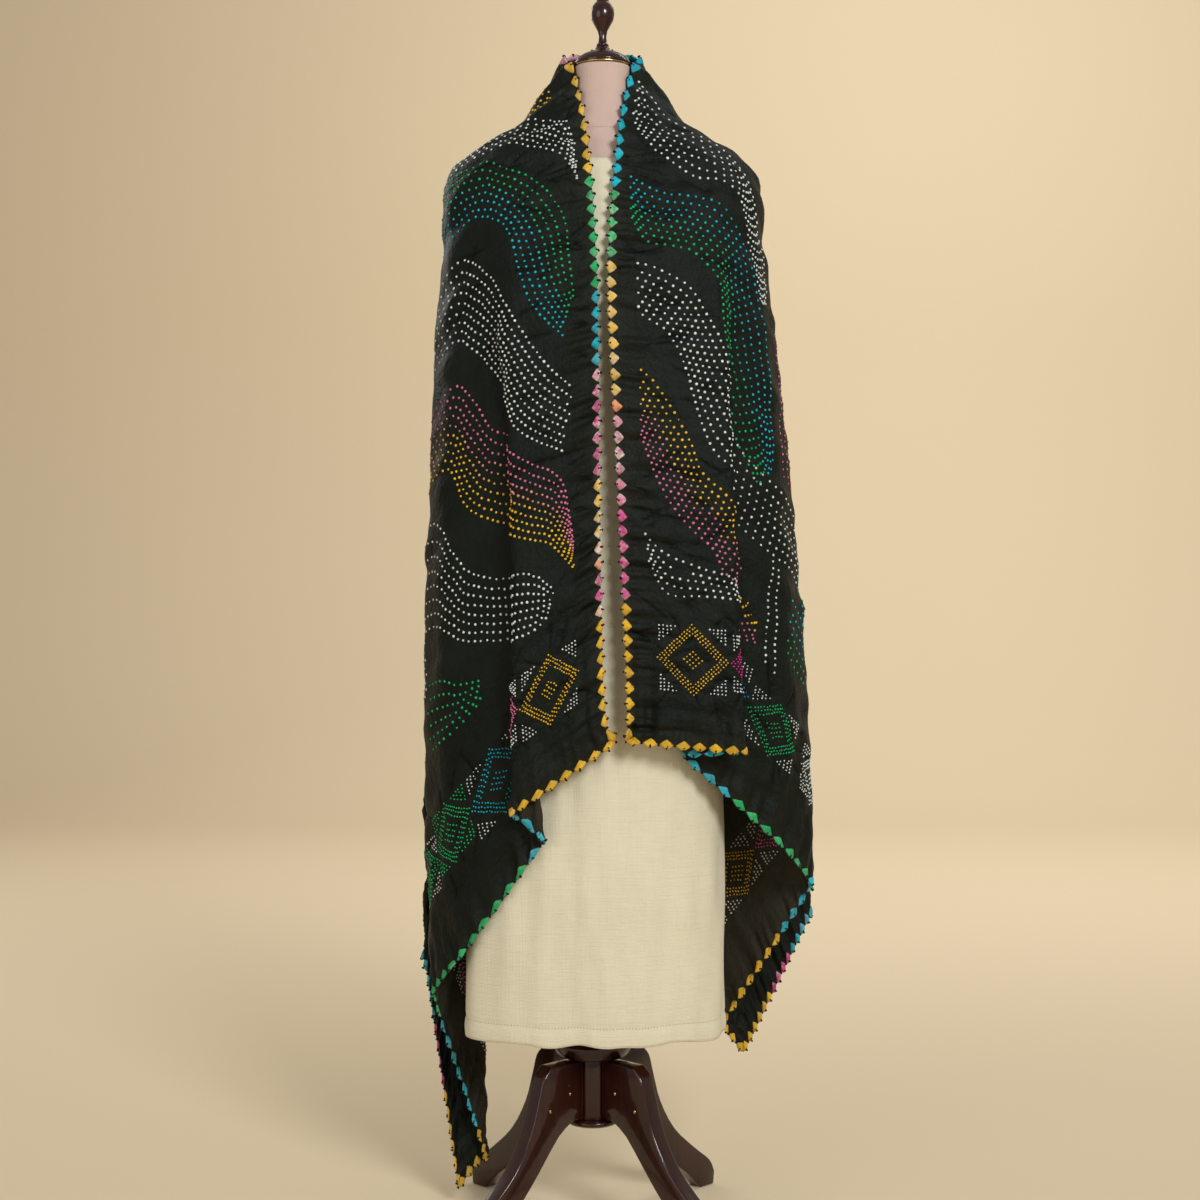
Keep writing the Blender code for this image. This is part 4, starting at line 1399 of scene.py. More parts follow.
@dataclass
class Edging:
    """Raised coloured lozenges, points inward, with a dark thread at each."""

    silk: Silk
    crown: float = 0.0011
    rim: float = 0.0003
    heart: float = 0.0036               # how far in the top of a lozenge lies
    full_pitch: float = 0.0250
    thread_radius: float = 0.0015
    thread_height: float = 0.0026
    thread_stray: float = 0.0008
    seed: int = 5

    def runs(self) -> tuple[Run, ...]:
        """The four edges in order: front, hems, far side.

        Returns:
            The runs.
        """
        side = round(2 * HALF_LENGTH / self.silk.lozenge_pitch)
        hem = round(WIDTH / self.silk.hem_pitch)
        hems = (HEM_LEFT, HEM_RIGHT)
        return (
            Run(side, (-HALF_LENGTH, 0.0), (HALF_LENGTH, 0.0), (0.0, 1.0), (FRONT_LEFT, FRONT_RIGHT), 0),
            Run(hem, (-HALF_LENGTH, 0.0), (-HALF_LENGTH, WIDTH), (1.0, 0.0), hems, 1),
            Run(hem, (HALF_LENGTH, 0.0), (HALF_LENGTH, WIDTH), (-1.0, 0.0), hems, 1),
            Run(side, (-HALF_LENGTH, WIDTH), (HALF_LENGTH, WIDTH), (0.0, -1.0), (FAR_SIDE, FAR_SIDE), 0))

    def _shape(self) -> tuple[np.ndarray, np.ndarray, list[tuple[int, ...]]]:
        """One lozenge: a thin domed lens.

        Returns:
            Points as (along the edge, inward) and heights from 0 to 1, and faces.
        """
        rim = np.array(LOZENGE) / 1000
        heart = np.array((0.0, self.heart))
        rings = [rim, heart + (rim - heart) * 0.80, heart + (rim - heart) * 0.40, heart[None, :]]
        tall = (0.0, 0.55, 0.95, 1.0)
        count = len(rim)
        flat = [rings[0]]
        height = [np.zeros(count)]
        faces: list[tuple[int, ...]] = []
        for sign in (1, -1):
            base = sum(len(ring) for ring in flat)
            flat += rings[1:]
            height += [np.full(len(ring), sign * rise) for ring, rise in zip(rings[1:], tall[1:])]
            starts = (0, base, base + count)
            for first, second in zip(starts, starts[1:]):
                for i in range(count):
                    j = (i + 1) % count
                    face = (first + i, first + j, second + j, second + i)
                    faces.append(face if sign > 0 else face[::-1])
            tip = base + 2 * count
            for i in range(count):
                face = (base + count + i, base + count + (i + 1) % count, tip)
                faces.append(face if sign > 0 else face[::-1])
        return np.concatenate(flat), np.concatenate(height), faces

    def build(self, finishes: Finishes) -> list[bpy.types.Object]:
        """Build the lozenges and their threads.

        Args:
            finishes: The materials.

        Returns:
            The pieces.
        """
        rng = np.random.default_rng(self.seed)
        shape, tall, shape_faces = self._shape()
        flats, lifts, colours, bare, faces, knots = [], [], [], [], [], []
        for run in self.runs():
            low, high, inward = np.array(run.low), np.array(run.high), np.array(run.inward)
            length = np.linalg.norm(high - low)
            way = (high - low) / length
            flip = way[0] * inward[1] - way[1] * inward[0] < 0
            for index in range(run.count):
                middle = low + (high - low) * (index + 0.5) / run.count
                stretch = pick(run.colours[int(middle[0] >= 0)], abs(middle[run.axis]))
                size = rng.uniform(0.93, 1.03, 2)
                body = shape.copy()
                body[:, 0] += body[:, 1] * rng.uniform(-0.16, 0.16)
                fit = min(size[0], length / run.count / self.full_pitch)
                flat = middle + np.outer(body[:, 0] * fit, way) + np.outer(body[:, 1] * size[1], inward)
                base = sum(len(part) for part in flats)
                flats.append(flat)
                lifts.append(self.rim * np.sign(tall) + self.crown * tall)
                dye, pale = np.array(stretch.dye.value), stretch.pale * rng.uniform(0.5, 1.2)
                colours.append(np.tile(dye * rng.uniform(0.72, 1.05), (len(shape), 1)))
                bare.append(pale * np.where(np.abs(tall) < 0.7, 1.15, 0.6) * rng.uniform(0.6, 1.1))
                faces += [tuple(base + i for i in (face[::-1] if flip else face)) for face in shape_faces]
                for step, depth in KNOTS:
                    knots.append(middle + way * step * length / run.count + inward * depth)
        flat, lift = np.concatenate(flats), np.concatenate(lifts)
        points, _ = self.silk.place(flat, lift)
        edging = add_piece("edging", points, faces, finishes.edging)
        put_colour(edging.data, "dye", np.concatenate(colours))
        put_numbers(edging.data, "bare", np.concatenate(bare))
        settle(edging)
        spots = np.array(knots)
        spots += rng.uniform(-self.thread_stray, self.thread_stray, spots.shape)
        lens = Lens(self.thread_radius, self.thread_height, finishes.edging)
        threads = scatter_dots("edge_threads", self.silk, spots, np.tile(THREAD, (len(spots), 1)), lens)
        return [edging, threads]


# ---- tied dots -----------------------------------------------------------------------
class Lens(NamedTuple):
    """The small lens that is put at each point."""

    radius: float
    height: float            # above and below the point
    finish: bpy.types.Material
    unevenness: float = 0.16
    seed: int = 3
    sides: int = 6
    rings: int = 4


def scatter_tree(name: str, sides: int, rings: int) -> bpy.types.NodeTree:
    """Geometry nodes that put a small lens at every point, flat on the cloth.

    Args:
        name: Name of the tree.
        sides: Sides of a lens.
        rings: Rings of a lens.

    Returns:
        The tree, with its sizes as inputs.
    """
    tree = bpy.data.node_groups.new(name, "GeometryNodeTree")
    for label, kind in (("Geometry", "NodeSocketGeometry"), ("Radius", "NodeSocketFloat"),
                        ("Height", "NodeSocketFloat"), ("Unevenness", "NodeSocketFloat"),
                        ("Seed", "NodeSocketInt"), ("Finish", "NodeSocketMaterial")):
        tree.interface.new_socket(label, in_out="INPUT", socket_type=kind)
    tree.interface.new_socket("Geometry", in_out="OUTPUT", socket_type="NodeSocketGeometry")
    join = Join(tree)
    source, result = join.add("NodeGroupInput"), join.add("NodeGroupOutput")
    lens = join.add("GeometryNodeMeshUVSphere", Segments=sides, Rings=rings, Radius=1.0)
    lie = join.add("GeometryNodeInputNamedAttribute", {"data_type": "FLOAT_VECTOR"}, Name="lie")
    turned = join.add("FunctionNodeAlignRotationToVector", {"axis": "Z"}, Vector=lie.outputs["Attribute"])
    vary = join.add("FunctionNodeRandomValue", {"data_type": "FLOAT"}, Seed=source.outputs["Seed"])
    join.feed(vary.inputs[2], join.maths("SUBTRACT", 1.0, source.outputs["Unevenness"]))
    join.feed(vary.inputs[3], join.maths("ADD", 1.0, source.outputs["Unevenness"]))
    width = join.maths("MULTIPLY", source.outputs["Radius"], vary.outputs[1])
    scale = join.add("ShaderNodeCombineXYZ", X=width, Y=width, Z=source.outputs["Height"])
    spread = join.add("GeometryNodeInstanceOnPoints", Points=source.outputs["Geometry"],
                      Instance=lens.outputs["Mesh"], Rotation=turned.outputs[0], Scale=scale.outputs[0])
    real = join.add("GeometryNodeRealizeInstances", Geometry=spread.outputs[0])
    finish = join.add("GeometryNodeSetMaterial", Geometry=real.outputs[0], Material=source.outputs["Finish"])
    join.feed(result.inputs[0], finish.outputs[0])
    return tree


def socket_id(tree: bpy.types.NodeTree, label: str) -> str:
    """The identifier of a tree's input."""
    return next(item.identifier for item in tree.interface.items_tree
                if item.item_type == "SOCKET" and item.in_out == "INPUT" and item.name == label)


def spread_on_points(name: str, points: np.ndarray, normals: np.ndarray, colours: np.ndarray,
                     lens: Lens) -> bpy.types.Object:
    """Put a lens at each bare point and keep the result as a plain mesh.

    Args:
        name: Name of the piece.
        points: Where each copy goes.
        normals: Which way each copy faces.
        colours: Colour of each copy.
        lens: What is put there.

    Returns:
        The piece.
    """
    cloud = bpy.data.meshes.new(name + "_points")
    cloud.from_pydata(points.tolist(), [], [])
    lie = cloud.attributes.new("lie", "FLOAT_VECTOR", "POINT")
    lie.data.foreach_set("vector", normals.astype(np.float32).ravel())
    put_colour(cloud, "dye", colours)
    holder = put_in_scene(name + "_points", cloud)
    label = f"lenses of {lens.sides} sides"
    tree = bpy.data.node_groups.get(label) or scatter_tree(label, lens.sides, lens.rings)
    modifier = holder.modifiers.new("spread", "NODES")
    modifier.node_group = tree
    for label, value in (("Radius", lens.radius), ("Height", lens.height), ("Unevenness", lens.unevenness),
                         ("Seed", lens.seed), ("Finish", lens.finish)):
        modifier[socket_id(tree, label)] = value
    seen = holder.evaluated_get(bpy.context.evaluated_depsgraph_get())
    mesh = bpy.data.meshes.new_from_object(seen)
    mesh.name = name
    mesh.shade_smooth()
    bpy.data.objects.remove(holder)
    return put_in_scene(name, mesh)


def scatter_dots(name: str, silk: Silk, flat: np.ndarray, colours: np.ndarray,
                 lens: Lens) -> bpy.types.Object:
    """Dots on the silk.

    Args:
        name: Name of the piece.
        silk: The silk they lie in.
        flat: Their places on the flat cloth.
        colours: Their colours.
        lens: The shape of a dot.

    Returns:
        The piece.
    """
    points, normals = silk.place(flat, np.zeros(len(flat)))
    return settle(spread_on_points(name, points, normals, colours, lens))


Station = tuple[float, float, float, float]      # along and across: the first row, then the last


class Band(NamedTuple):
    """A swoosh of dots in rows that shade from one dye to another, on one half of the cloth."""

    side: int
    first: Dye
    last: Dye
    rows: int
    stations: tuple[Station, ...]


BANDS = (
    Band(-1, Dye.GREEN, Dye.CYAN, 8, (
        (0.15, 0.3, 0.245, 0.32), (0.18, 0.24, 0.27, 0.26), (0.215, 0.175, 0.295, 0.19),
        (0.245, 0.14, 0.335, 0.155), (0.285, 0.085, 0.365, 0.14), (0.35, 0.05, 0.425, 0.13),
        (0.43, 0.045, 0.49, 0.11), (0.5, 0.04, 0.555, 0.06))),
    Band(-1, Dye.WHITE, Dye.WHITE, 7, (
        (0.085, 0.3, 0.165, 0.3), (0.105, 0.21, 0.18, 0.22), (0.115, 0.15, 0.19, 0.165),
        (0.12, 0.115, 0.2, 0.13), (0.155, 0.08, 0.225, 0.075), (0.18, 0.04, 0.25, 0.035),
        (0.23, 0.02, 0.3, 0.02))),
    Band(-1, Dye.WHITE, Dye.WHITE, 9, (
        (0.32, 0.33, 0.43, 0.35), (0.325, 0.235, 0.43, 0.26), (0.355, 0.205, 0.485, 0.23),
        (0.42, 0.175, 0.535, 0.215), (0.49, 0.15, 0.6, 0.185), (0.585, 0.095, 0.67, 0.15),
        (0.645, 0.045, 0.74, 0.065))),
    Band(-1, Dye.PINK, Dye.YELLOW, 10, (
        (0.49, 0.38, 0.59, 0.4), (0.49, 0.275, 0.59, 0.31), (0.55, 0.25, 0.66, 0.295),
        (0.615, 0.235, 0.715, 0.275), (0.69, 0.175, 0.785, 0.225), (0.735, 0.125, 0.84, 0.15),
        (0.785, 0.07, 0.875, 0.095), (0.89, 0.05, 0.935, 0.05))),
    Band(-1, Dye.WHITE, Dye.WHITE, 8, (
        (0.62, 0.44, 0.76, 0.47), (0.645, 0.35, 0.785, 0.385), (0.715, 0.325, 0.82, 0.355),
        (0.775, 0.305, 0.86, 0.33), (0.855, 0.24, 0.96, 0.23), (0.905, 0.135, 0.995, 0.14),
        (0.95, 0.09, 0.985, 0.095))),
    Band(-1, Dye.GREEN, Dye.GREEN, 6, (
        (0.855, 0.42, 0.945, 0.44), (0.87, 0.385, 0.95, 0.405), (0.9, 0.36, 0.955, 0.375),
        (0.93, 0.325, 0.955, 0.335))),
    Band(-1, Dye.YELLOW, Dye.YELLOW, 5, (
        (0.06, 0.12, 0.09, 0.13), (0.075, 0.075, 0.11, 0.085), (0.09, 0.045, 0.12, 0.055))),
    Band(1, Dye.WHITE, Dye.WHITE, 7, (
        (0.105, 0.02, 0.17, 0.025), (0.12, 0.055, 0.225, 0.06), (0.145, 0.1, 0.26, 0.105),
        (0.16, 0.145, 0.27, 0.14), (0.19, 0.18, 0.26, 0.185), (0.235, 0.215, 0.29, 0.205),
        (0.325, 0.26, 0.36, 0.24), (0.39, 0.27, 0.405, 0.26))),
    Band(1, Dye.CYAN, Dye.GREEN, 9, (
        (0.285, 0.025, 0.365, 0.03), (0.3, 0.045, 0.4, 0.05), (0.31, 0.075, 0.405, 0.075),
        (0.31, 0.12, 0.41, 0.115), (0.315, 0.165, 0.43, 0.135), (0.335, 0.21, 0.46, 0.155),
        (0.41, 0.255, 0.54, 0.165), (0.49, 0.285, 0.62, 0.2), (0.58, 0.3, 0.69, 0.27),
        (0.66, 0.32, 0.72, 0.3))),
    Band(1, Dye.WHITE, Dye.WHITE, 8, (
        (0.445, 0.04, 0.53, 0.04), (0.45, 0.065, 0.545, 0.065), (0.475, 0.11, 0.565, 0.085),
        (0.53, 0.14, 0.62, 0.105), (0.59, 0.17, 0.69, 0.12), (0.655, 0.22, 0.76, 0.15),
        (0.69, 0.275, 0.8, 0.24), (0.695, 0.32, 0.81, 0.33), (0.695, 0.365, 0.8, 0.375),
        (0.7, 0.43, 0.8, 0.44))),
    Band(1, Dye.YELLOW, Dye.PINK, 9, (
        (0.625, 0.04, 0.735, 0.035), (0.655, 0.065, 0.8, 0.055), (0.735, 0.105, 0.845, 0.075),
        (0.785, 0.12, 0.88, 0.1), (0.815, 0.15, 0.915, 0.135), (0.85, 0.185, 0.96, 0.16),
        (0.89, 0.26, 0.98, 0.25), (0.915, 0.315, 0.985, 0.32), (0.935, 0.34, 0.975, 0.345))),
    Band(1, Dye.WHITE, Dye.WHITE, 5, (
        (0.9, 0.035, 0.945, 0.04), (0.93, 0.065, 0.995, 0.065), (0.945, 0.105, 0.995, 0.11),
        (0.955, 0.145, 0.995, 0.155), (0.97, 0.215, 1.0, 0.22))),
    Band(1, Dye.PINK, Dye.ORANGE, 4, (
        (0.415, 0.3, 0.43, 0.34), (0.5, 0.32, 0.5, 0.36), (0.6, 0.33, 0.6, 0.375),
        (0.66, 0.35, 0.65, 0.385))),
    Band(1, Dye.CYAN, Dye.GREEN, 6, (
        (0.85, 0.395, 0.94, 0.395), (0.855, 0.425, 0.955, 0.42), (0.86, 0.47, 0.96, 0.46))),
    Band(1, Dye.WHITE, Dye.WHITE, 7, (
        (-0.12, 0.13, -0.1, 0.2), (-0.06, 0.095, -0.05, 0.165), (0.0, 0.12, 0.005, 0.195),
        (0.055, 0.16, 0.05, 0.23), (0.11, 0.15, 0.105, 0.205))),
    Band(1, Dye.PINK, Dye.YELLOW, 8, (
        (-0.14, 0.27, -0.13, 0.35), (-0.07, 0.24, -0.06, 0.325), (0.0, 0.27, 0.0, 0.355),
        (0.07, 0.31, 0.065, 0.385), (0.13, 0.3, 0.125, 0.35))),
    Band(1, Dye.GREEN, Dye.CYAN, 7, (
        (-0.06, 0.42, -0.05, 0.5), (0.0, 0.45, 0.005, 0.525), (0.055, 0.5, 0.05, 0.57),
        (0.07, 0.6, 0.03, 0.64))),
    Band(1, Dye.WHITE, Dye.WHITE, 2, (
        (0.82, 0.345, 0.82, 0.355), (0.9, 0.35, 0.9, 0.365), (1.0, 0.365, 1.0, 0.38))))


FAR_DYES = (Dye.WHITE, Dye.PINK, Dye.YELLOW, Dye.CYAN, Dye.GREEN)
BACK_DYES = ((Dye.GREEN, Dye.CYAN), (Dye.WHITE, Dye.WHITE), (Dye.PINK, Dye.YELLOW), (Dye.WHITE, Dye.WHITE))


@dataclass
class DotWork:
    """All the tied dots, charted on the flat cloth."""

    silk: Silk
    spacing: float = 0.0116
    motif_spacing: float = 0.0068
    stray: float = 0.0007
    band_radius: float = 0.0018
    motif_radius: float = 0.00122
    height: float = 0.0011
    far_first: float = 0.515
    far_step: float = 0.092
    far_along: float = 1.095
    far_half: float = 0.043
    far_count: int = 4
    back_steps: int = 4
    back_first: float = 0.10            # along the cloth, where the back's bands start
    back_step: float = 0.235
    back_rows: int = 8
    clear_edge: float = 0.016           # no dots nearer to an edge
    seed: int = 21

    def _band(self, band: Band, rng: np.random.Generator) -> tuple[np.ndarray, np.ndarray]:
        """Dots of one band.

        Args:
            band: The band.
            rng: Source of small irregularities.

        Returns:
            Their places and colours.
        """
        stations = np.array(band.stations)
        knots = np.arange(len(stations))
        fine = smooth_through(knots, stations, np.linspace(0, knots[-1], 240))
        first, last = np.array(band.first.value), np.array(band.last.value)
        places, colours = [], []
        for row in range(band.rows):
            share = (row / max(1, band.rows - 1)) ** 0.92
            curve = fine[:, :2] * (1 - share) + fine[:, 2:] * share
            gone = run_of(curve)
            at = np.arange(0.5 * (row % 2), gone[-1] / self.spacing) * self.spacing
            spots = between(at, gone, curve)
            tint = np.clip((share + rng.uniform(-0.12, 0.12, len(at)) - 0.35) / 0.3, 0, 1)[:, None]
            places.append(spots * (band.side, 1))
            colours.append((first * (1 - tint) + last * tint) * rng.uniform(0.72, 1.08, (len(at), 1)))
        return np.concatenate(places), np.concatenate(colours)

    def _diamond(self, motif: Diamond, rng: np.random.Generator) -> tuple[np.ndarray, np.ndarray]:
        """Dots of one diamond and its corner triangles.

        Args:
            motif: The diamond.
            rng: Source of small irregularities.

        Returns:
            Their places and colours.
        """
        half = np.array((motif.half_along, motif.half_across))
        step = self.motif_spacing
        spots = []
        for ring in range(3):
            size = half - ring * step
            count = max(3, round(np.linalg.norm(size) / (step * 0.86)))
            for first, second in (((1, 0), (0, 1)), ((0, 1), (-1, 0)), ((-1, 0), (0, -1)), ((0, -1), (1, 0))):
                for i in range(count):
                    spots.append(size * first * (1 - i / count) + size * second * (i / count))
        for i in range(4):
            for j in range(4):
                spots.append(np.array(((i + j - 3) * 0.5, (i - j) * 0.5)) * step * 1.35)
        main = len(spots)
        for turn_along in (-1, 1):
            for turn_across in (-1, 1):
                corner = half * (turn_along, turn_across) * 0.92
                for i in range(5):
                    for j in range(5 - i):
                        spots.append(corner - np.array((turn_along * i, turn_across * j)) * step * 0.86)
        spots = np.array(spots) + (motif.along, motif.across)
        colours = np.tile(motif.dye.value, (len(spots), 1))
        colours[main:] = motif.corners.value
        return spots * (motif.side, 1), colours * rng.uniform(0.75, 1.05, (len(spots), 1))

    def _far_diamonds(self) -> list[Diamond]:
        """The diamonds that go on along each hem towards the far edge.

        Returns:
            The diamonds.
        """
        return [Diamond(side, self.far_along, self.far_first + self.far_step * index, self.far_half,
                        self.far_half, FAR_DYES[index if side > 0 else index - 1], Dye.WHITE)
                for side in (-1, 1) for index in range(self.far_count)]

    def _back_bands(self) -> list[Band]:
        """The swooshes that the sides and back repeat.

        Returns:
            The bands.
        """
        bands = []
        for side in (-1, 1):
            for index in range(self.back_steps):
                start = self.back_first + self.back_step * index
                first, last = BACK_DYES[(index + (side > 0)) % len(BACK_DYES)]
                stations = []
                for step in range(5):
                    across = 0.42 + 0.112 * step
                    middle = start + 0.050 * math.sin(step * 1.5 + index * 0.9) + 0.02 * step
                    half = 0.050 - 0.006 * abs(step - 2)
                    stations.append((middle - half, across, middle + half, across + 0.012))
                bands.append(Band(side, first, last, self.back_rows, tuple(stations)))
        return bands

    def build(self, finishes: Finishes) -> list[bpy.types.Object]:
        """Build the dots, in pieces that share one tree.

        Args:
            finishes: The materials.

        Returns:
            The pieces.
        """
        rng = np.random.default_rng(self.seed)
        bands = [self._band(band, rng) for band in BANDS]
        back = [self._band(band, rng) for band in self._back_bands()]
        motifs = [self._diamond(motif, rng) for motif in (*DIAMONDS, *self._far_diamonds())]
        pieces = []
        for name, groups, radius in (("band_dots", bands, self.band_radius),
                                     ("back_dots", back, self.band_radius),
                                     ("motif_dots", motifs, self.motif_radius)):
            flat = np.concatenate([places for places, _ in groups])
            colours = np.concatenate([tints for _, tints in groups])
            flat = flat + rng.uniform(-self.stray, self.stray, flat.shape)
            keep = Dupatta.inward(flat) > self.clear_edge
            flat, colours = flat[keep], colours[keep]
            lens = Lens(radius, self.height, finishes.dots)
            for side, label in ((-1, "left"), (1, "right")):
                half = flat[:, 0] * side > 0
                pieces.append(scatter_dots(f"{name}_{label}", self.silk, flat[half], colours[half], lens))
        return pieces


# ---- slip, form and stand ------------------------------------------------------------
def solid_of(node: str) -> bmesh.types.BMesh:
    """A copy of a CAD node's faces in the shared frame.

    Args:
        node: Name of the node.

    Returns:
        The faces.
    """
    source = bpy.data.objects[node]
    bm = bmesh.new()
    bm.from_mesh(source.data)
    bm.transform(source.matrix_world)
    return bm


def node_tree_of(node: str) -> BVHTree:
    """The faces of a CAD node, ready for rays.

    Args:
        node: Name of the node.

    Returns:
        The tree.
    """
    bm = solid_of(node)
    tree = BVHTree.FromBMesh(bm)
    bm.free()
    return tree


def wall_point(tree: BVHTree, height: float, turn: float, rise: float, reach: float = 0.7) -> Vector | None:
    """Where a solid's outer wall is met on the way to a point of the pole's axis.

    Args:
        tree: The solid.
        height: Height of the aim on the axis.
        turn: Angle in radians, from the right and round by the back.
        rise: How steeply the ray comes down.
        reach: Where it starts.

    Returns:
        The point, or None if the ray reaches the axis first.
    """
    way = Vector((math.cos(turn) * math.cos(rise), math.sin(turn) * math.cos(rise), math.sin(rise)))
    aim = Vector((AXIS.x, AXIS.y, height))
    return tree.ray_cast(aim + way * reach, -way, reach)[0]


def outline_at(tree: BVHTree, height: float, turns: np.ndarray) -> np.ndarray:
    """Distance from the pole's axis to a solid's outer wall.

    Args:
        tree: The solid.
        height: Height of the section.
        turns: Angles in radians.

    Returns:
        One distance for each angle.
    """
    hits = [wall_point(tree, height, turn, 0.0) for turn in turns]
    return np.array([math.hypot(hit.x - AXIS.x, hit.y - AXIS.y) if hit else 0.0 for hit in hits])


def ways_round(sides: int) -> tuple[np.ndarray, np.ndarray]:
    """Angles round the pole's axis, and the direction at each."""
    turns = np.arange(sides) / sides * math.tau
    return turns, np.stack([np.cos(turns), np.sin(turns)], axis=1)


def tube(rings: np.ndarray) -> list[tuple[int, int, int, int]]:
    """Faces that join closed rings of points, outward when the rings rise anticlockwise.

    Args:
        rings: Array of rings, points and coordinates.

    Returns:
        The faces.
    """
    count = rings.shape[1]
    return [(low + i, low + (i + 1) % count, low + count + (i + 1) % count, low + count + i)
            for low in range(0, (rings.shape[0] - 1) * count, count) for i in range(count)]


STITCH = (0.60, 0.52, 0.33)
SCREW = (0.6, 0.4, 0.15)


@dataclass
class Slip:
    """The plain cream slip: one cloth with a turned hem and soft folds."""

    sides: int = 176
    low: float = 0.2535
    yoke: float = 1.28
    yoke_rings: int = 34
    hem_depth: float = 0.024
    hem_gap: float = 0.0016
    hem_rings: int = 7                  # rings of the turned-up hem inside
    stitch_width: float = 0.0026        # of the hollow that the stitches pull in
    swell_height: float = 0.011         # of the hem's fullest place above its edge
    swell_width: float = 0.008
    fold_height: float = 0.0022
    fold_from: float = 1.15             # the skirt's folds start below this height
    fold_fade: float = 0.6
    fold_counts: tuple[int, ...] = (5, 7, 9, 13, 17, 23)
    rumple_count: int = 16
    rumple_height: float = 0.00022
    search_steps: int = 16              # halvings in the search for the neckline
    stitch_pitch: float = 0.0042
    seed: int = 8

    def _heights(self) -> np.ndarray:
        """Heights of the rings, closer at the hem and over the shoulders.

        Returns:
            The heights.
        """
        return np.concatenate([np.linspace(self.low, self.low + 0.032, 9),
                               np.linspace(self.low + 0.039, self.yoke, 116)])

    def _yoke(self, tree: BVHTree, turns: np.ndarray) -> np.ndarray:
        """Rings over the shoulders, up to the neckline.

        Args:
            tree: The slip's solid.
            turns: Angles of each ring.

        Returns:
            The rings, from the lowest.
        """
        rings = np.empty((self.yoke_rings, len(turns), 3))
        for index, turn in enumerate(turns):
            low, high = 0.0, math.pi / 2
            for _ in range(self.search_steps):
                rise = (low + high) / 2
                low, high = (rise, high) if wall_point(tree, self.yoke, turn, rise) else (low, rise)
            for ring in range(self.yoke_rings):
                rings[ring, index] = wall_point(tree, self.yoke, turn, low * (ring + 1) / self.yoke_rings)
        return rings

    def relief(self, turns: np.ndarray, height: float, rng: np.random.Generator) -> np.ndarray:
        """Soft folds of the skirt.

        Args:
            turns: Angles of the ring.
            height: Its height.
            rng: Freshly seeded, so that every ring has the same waves.

        Returns:
            How far each point moves out.
        """
        drop = float(ease(np.array((self.fold_from - height) / self.fold_fade)))
        total = np.zeros(len(turns))
        for count in self.fold_counts:
            start, lean, swing = rng.uniform(0, math.tau), rng.uniform(-3.0, 3.0), rng.uniform(0.3, 1.0)
            wave = np.sin(turns * count + start + lean * height + swing * np.sin(height * 9 + start))
            total += wave * self.fold_height * 4.0 / (4 + count) * drop
        for _ in range(self.rumple_count):
            start, count = rng.uniform(0, math.tau), rng.integers(6, 26)
            rise = rng.uniform(12.0, 46.0) * rng.choice((-1, 1))
            total += self.rumple_height * np.sin(turns * count + height * rise + start)
        return total

    def build(self, finishes: Finishes) -> list[bpy.types.Object]:
        """Build the slip and its hem stitches.

        Args:
            finishes: The materials.

        Returns:
            The pieces.
        """
        tree = node_tree_of("slip")
        turns, ways = ways_round(self.sides)
        heights = self._heights()
        stitch_at = self.low + self.hem_depth
        radii = []
        for height in heights:
            radius = outline_at(tree, height, turns)
            radius = (np.roll(radius, 1) + 2 * radius + np.roll(radius, -1)) / 4
            radius += self.relief(turns, height, np.random.default_rng(self.seed))
            sunk = math.exp(-((height - stitch_at) / self.stitch_width) ** 2)
            full = math.exp(-((height - self.low - self.swell_height) / self.swell_width) ** 2)
            pucker = 0.5 + 0.5 * np.sin(turns * 61 + 2.0 * np.sin(turns * 9))
            radius += full * (0.0006 + 0.0005 * pucker) - sunk * (0.0009 + 0.0006 * pucker)
            radii.append(radius)
        radii = np.array(radii)
        sway = 0.0016 * np.sin(turns * 7 + 0.6) + 0.0012 * np.sin(turns * 11 + 2.1)
        lift = np.clip(1 - (heights - self.low) / 0.05, 0, 1)[:, None] * sway
        rings = np.empty((len(heights), self.sides, 3))
        rings[:, :, :2] = (AXIS.x, AXIS.y) + ways * radii[:, :, None]
        rings[:, :, 2] = heights[:, None] + lift
        inner = rings[:self.hem_rings][::-1].copy()
        inner[:, :, :2] -= ways * self.hem_gap
        inner[-1, :, 2] = rings[0, :, 2] - 0.0004
        rings = np.concatenate([inner, rings, self._yoke(tree, turns)])
        slip = add_piece("cream_slip", rings.reshape(-1, 3), tube(rings), finishes.cotton)
        around = turns * float(np.nanmean(radii[:80]))
        run = run_of(rings.mean(axis=1))
        put_map(slip.data, np.stack([np.tile(around, len(rings)), np.repeat(run, self.sides)], axis=1))
        self._close_map(slip.data, float(around[1] * self.sides))
        settle(slip)
        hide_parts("slip")
        row = int(np.argmin(np.abs(heights - stitch_at)))
        stitches = self._stitches(radii[row], ways, sway, stitch_at, finishes)
        return [slip, stitches]

    def _close_map(self, mesh: bpy.types.Mesh, length: float) -> None:
        """Let the map run on past the last side instead of back to the first.

        Args:
            mesh: The slip's mesh.
            length: Length round the ring.
        """
        layer = mesh.uv_layers["cloth"]
        for face in mesh.polygons:
            corners = [mesh.loops[index].vertex_index % self.sides for index in face.loop_indices]
            if 0 in corners and self.sides - 1 in corners:
                for index, corner in zip(face.loop_indices, corners):
                    if corner == 0:
                        layer.data[index].uv.x += length

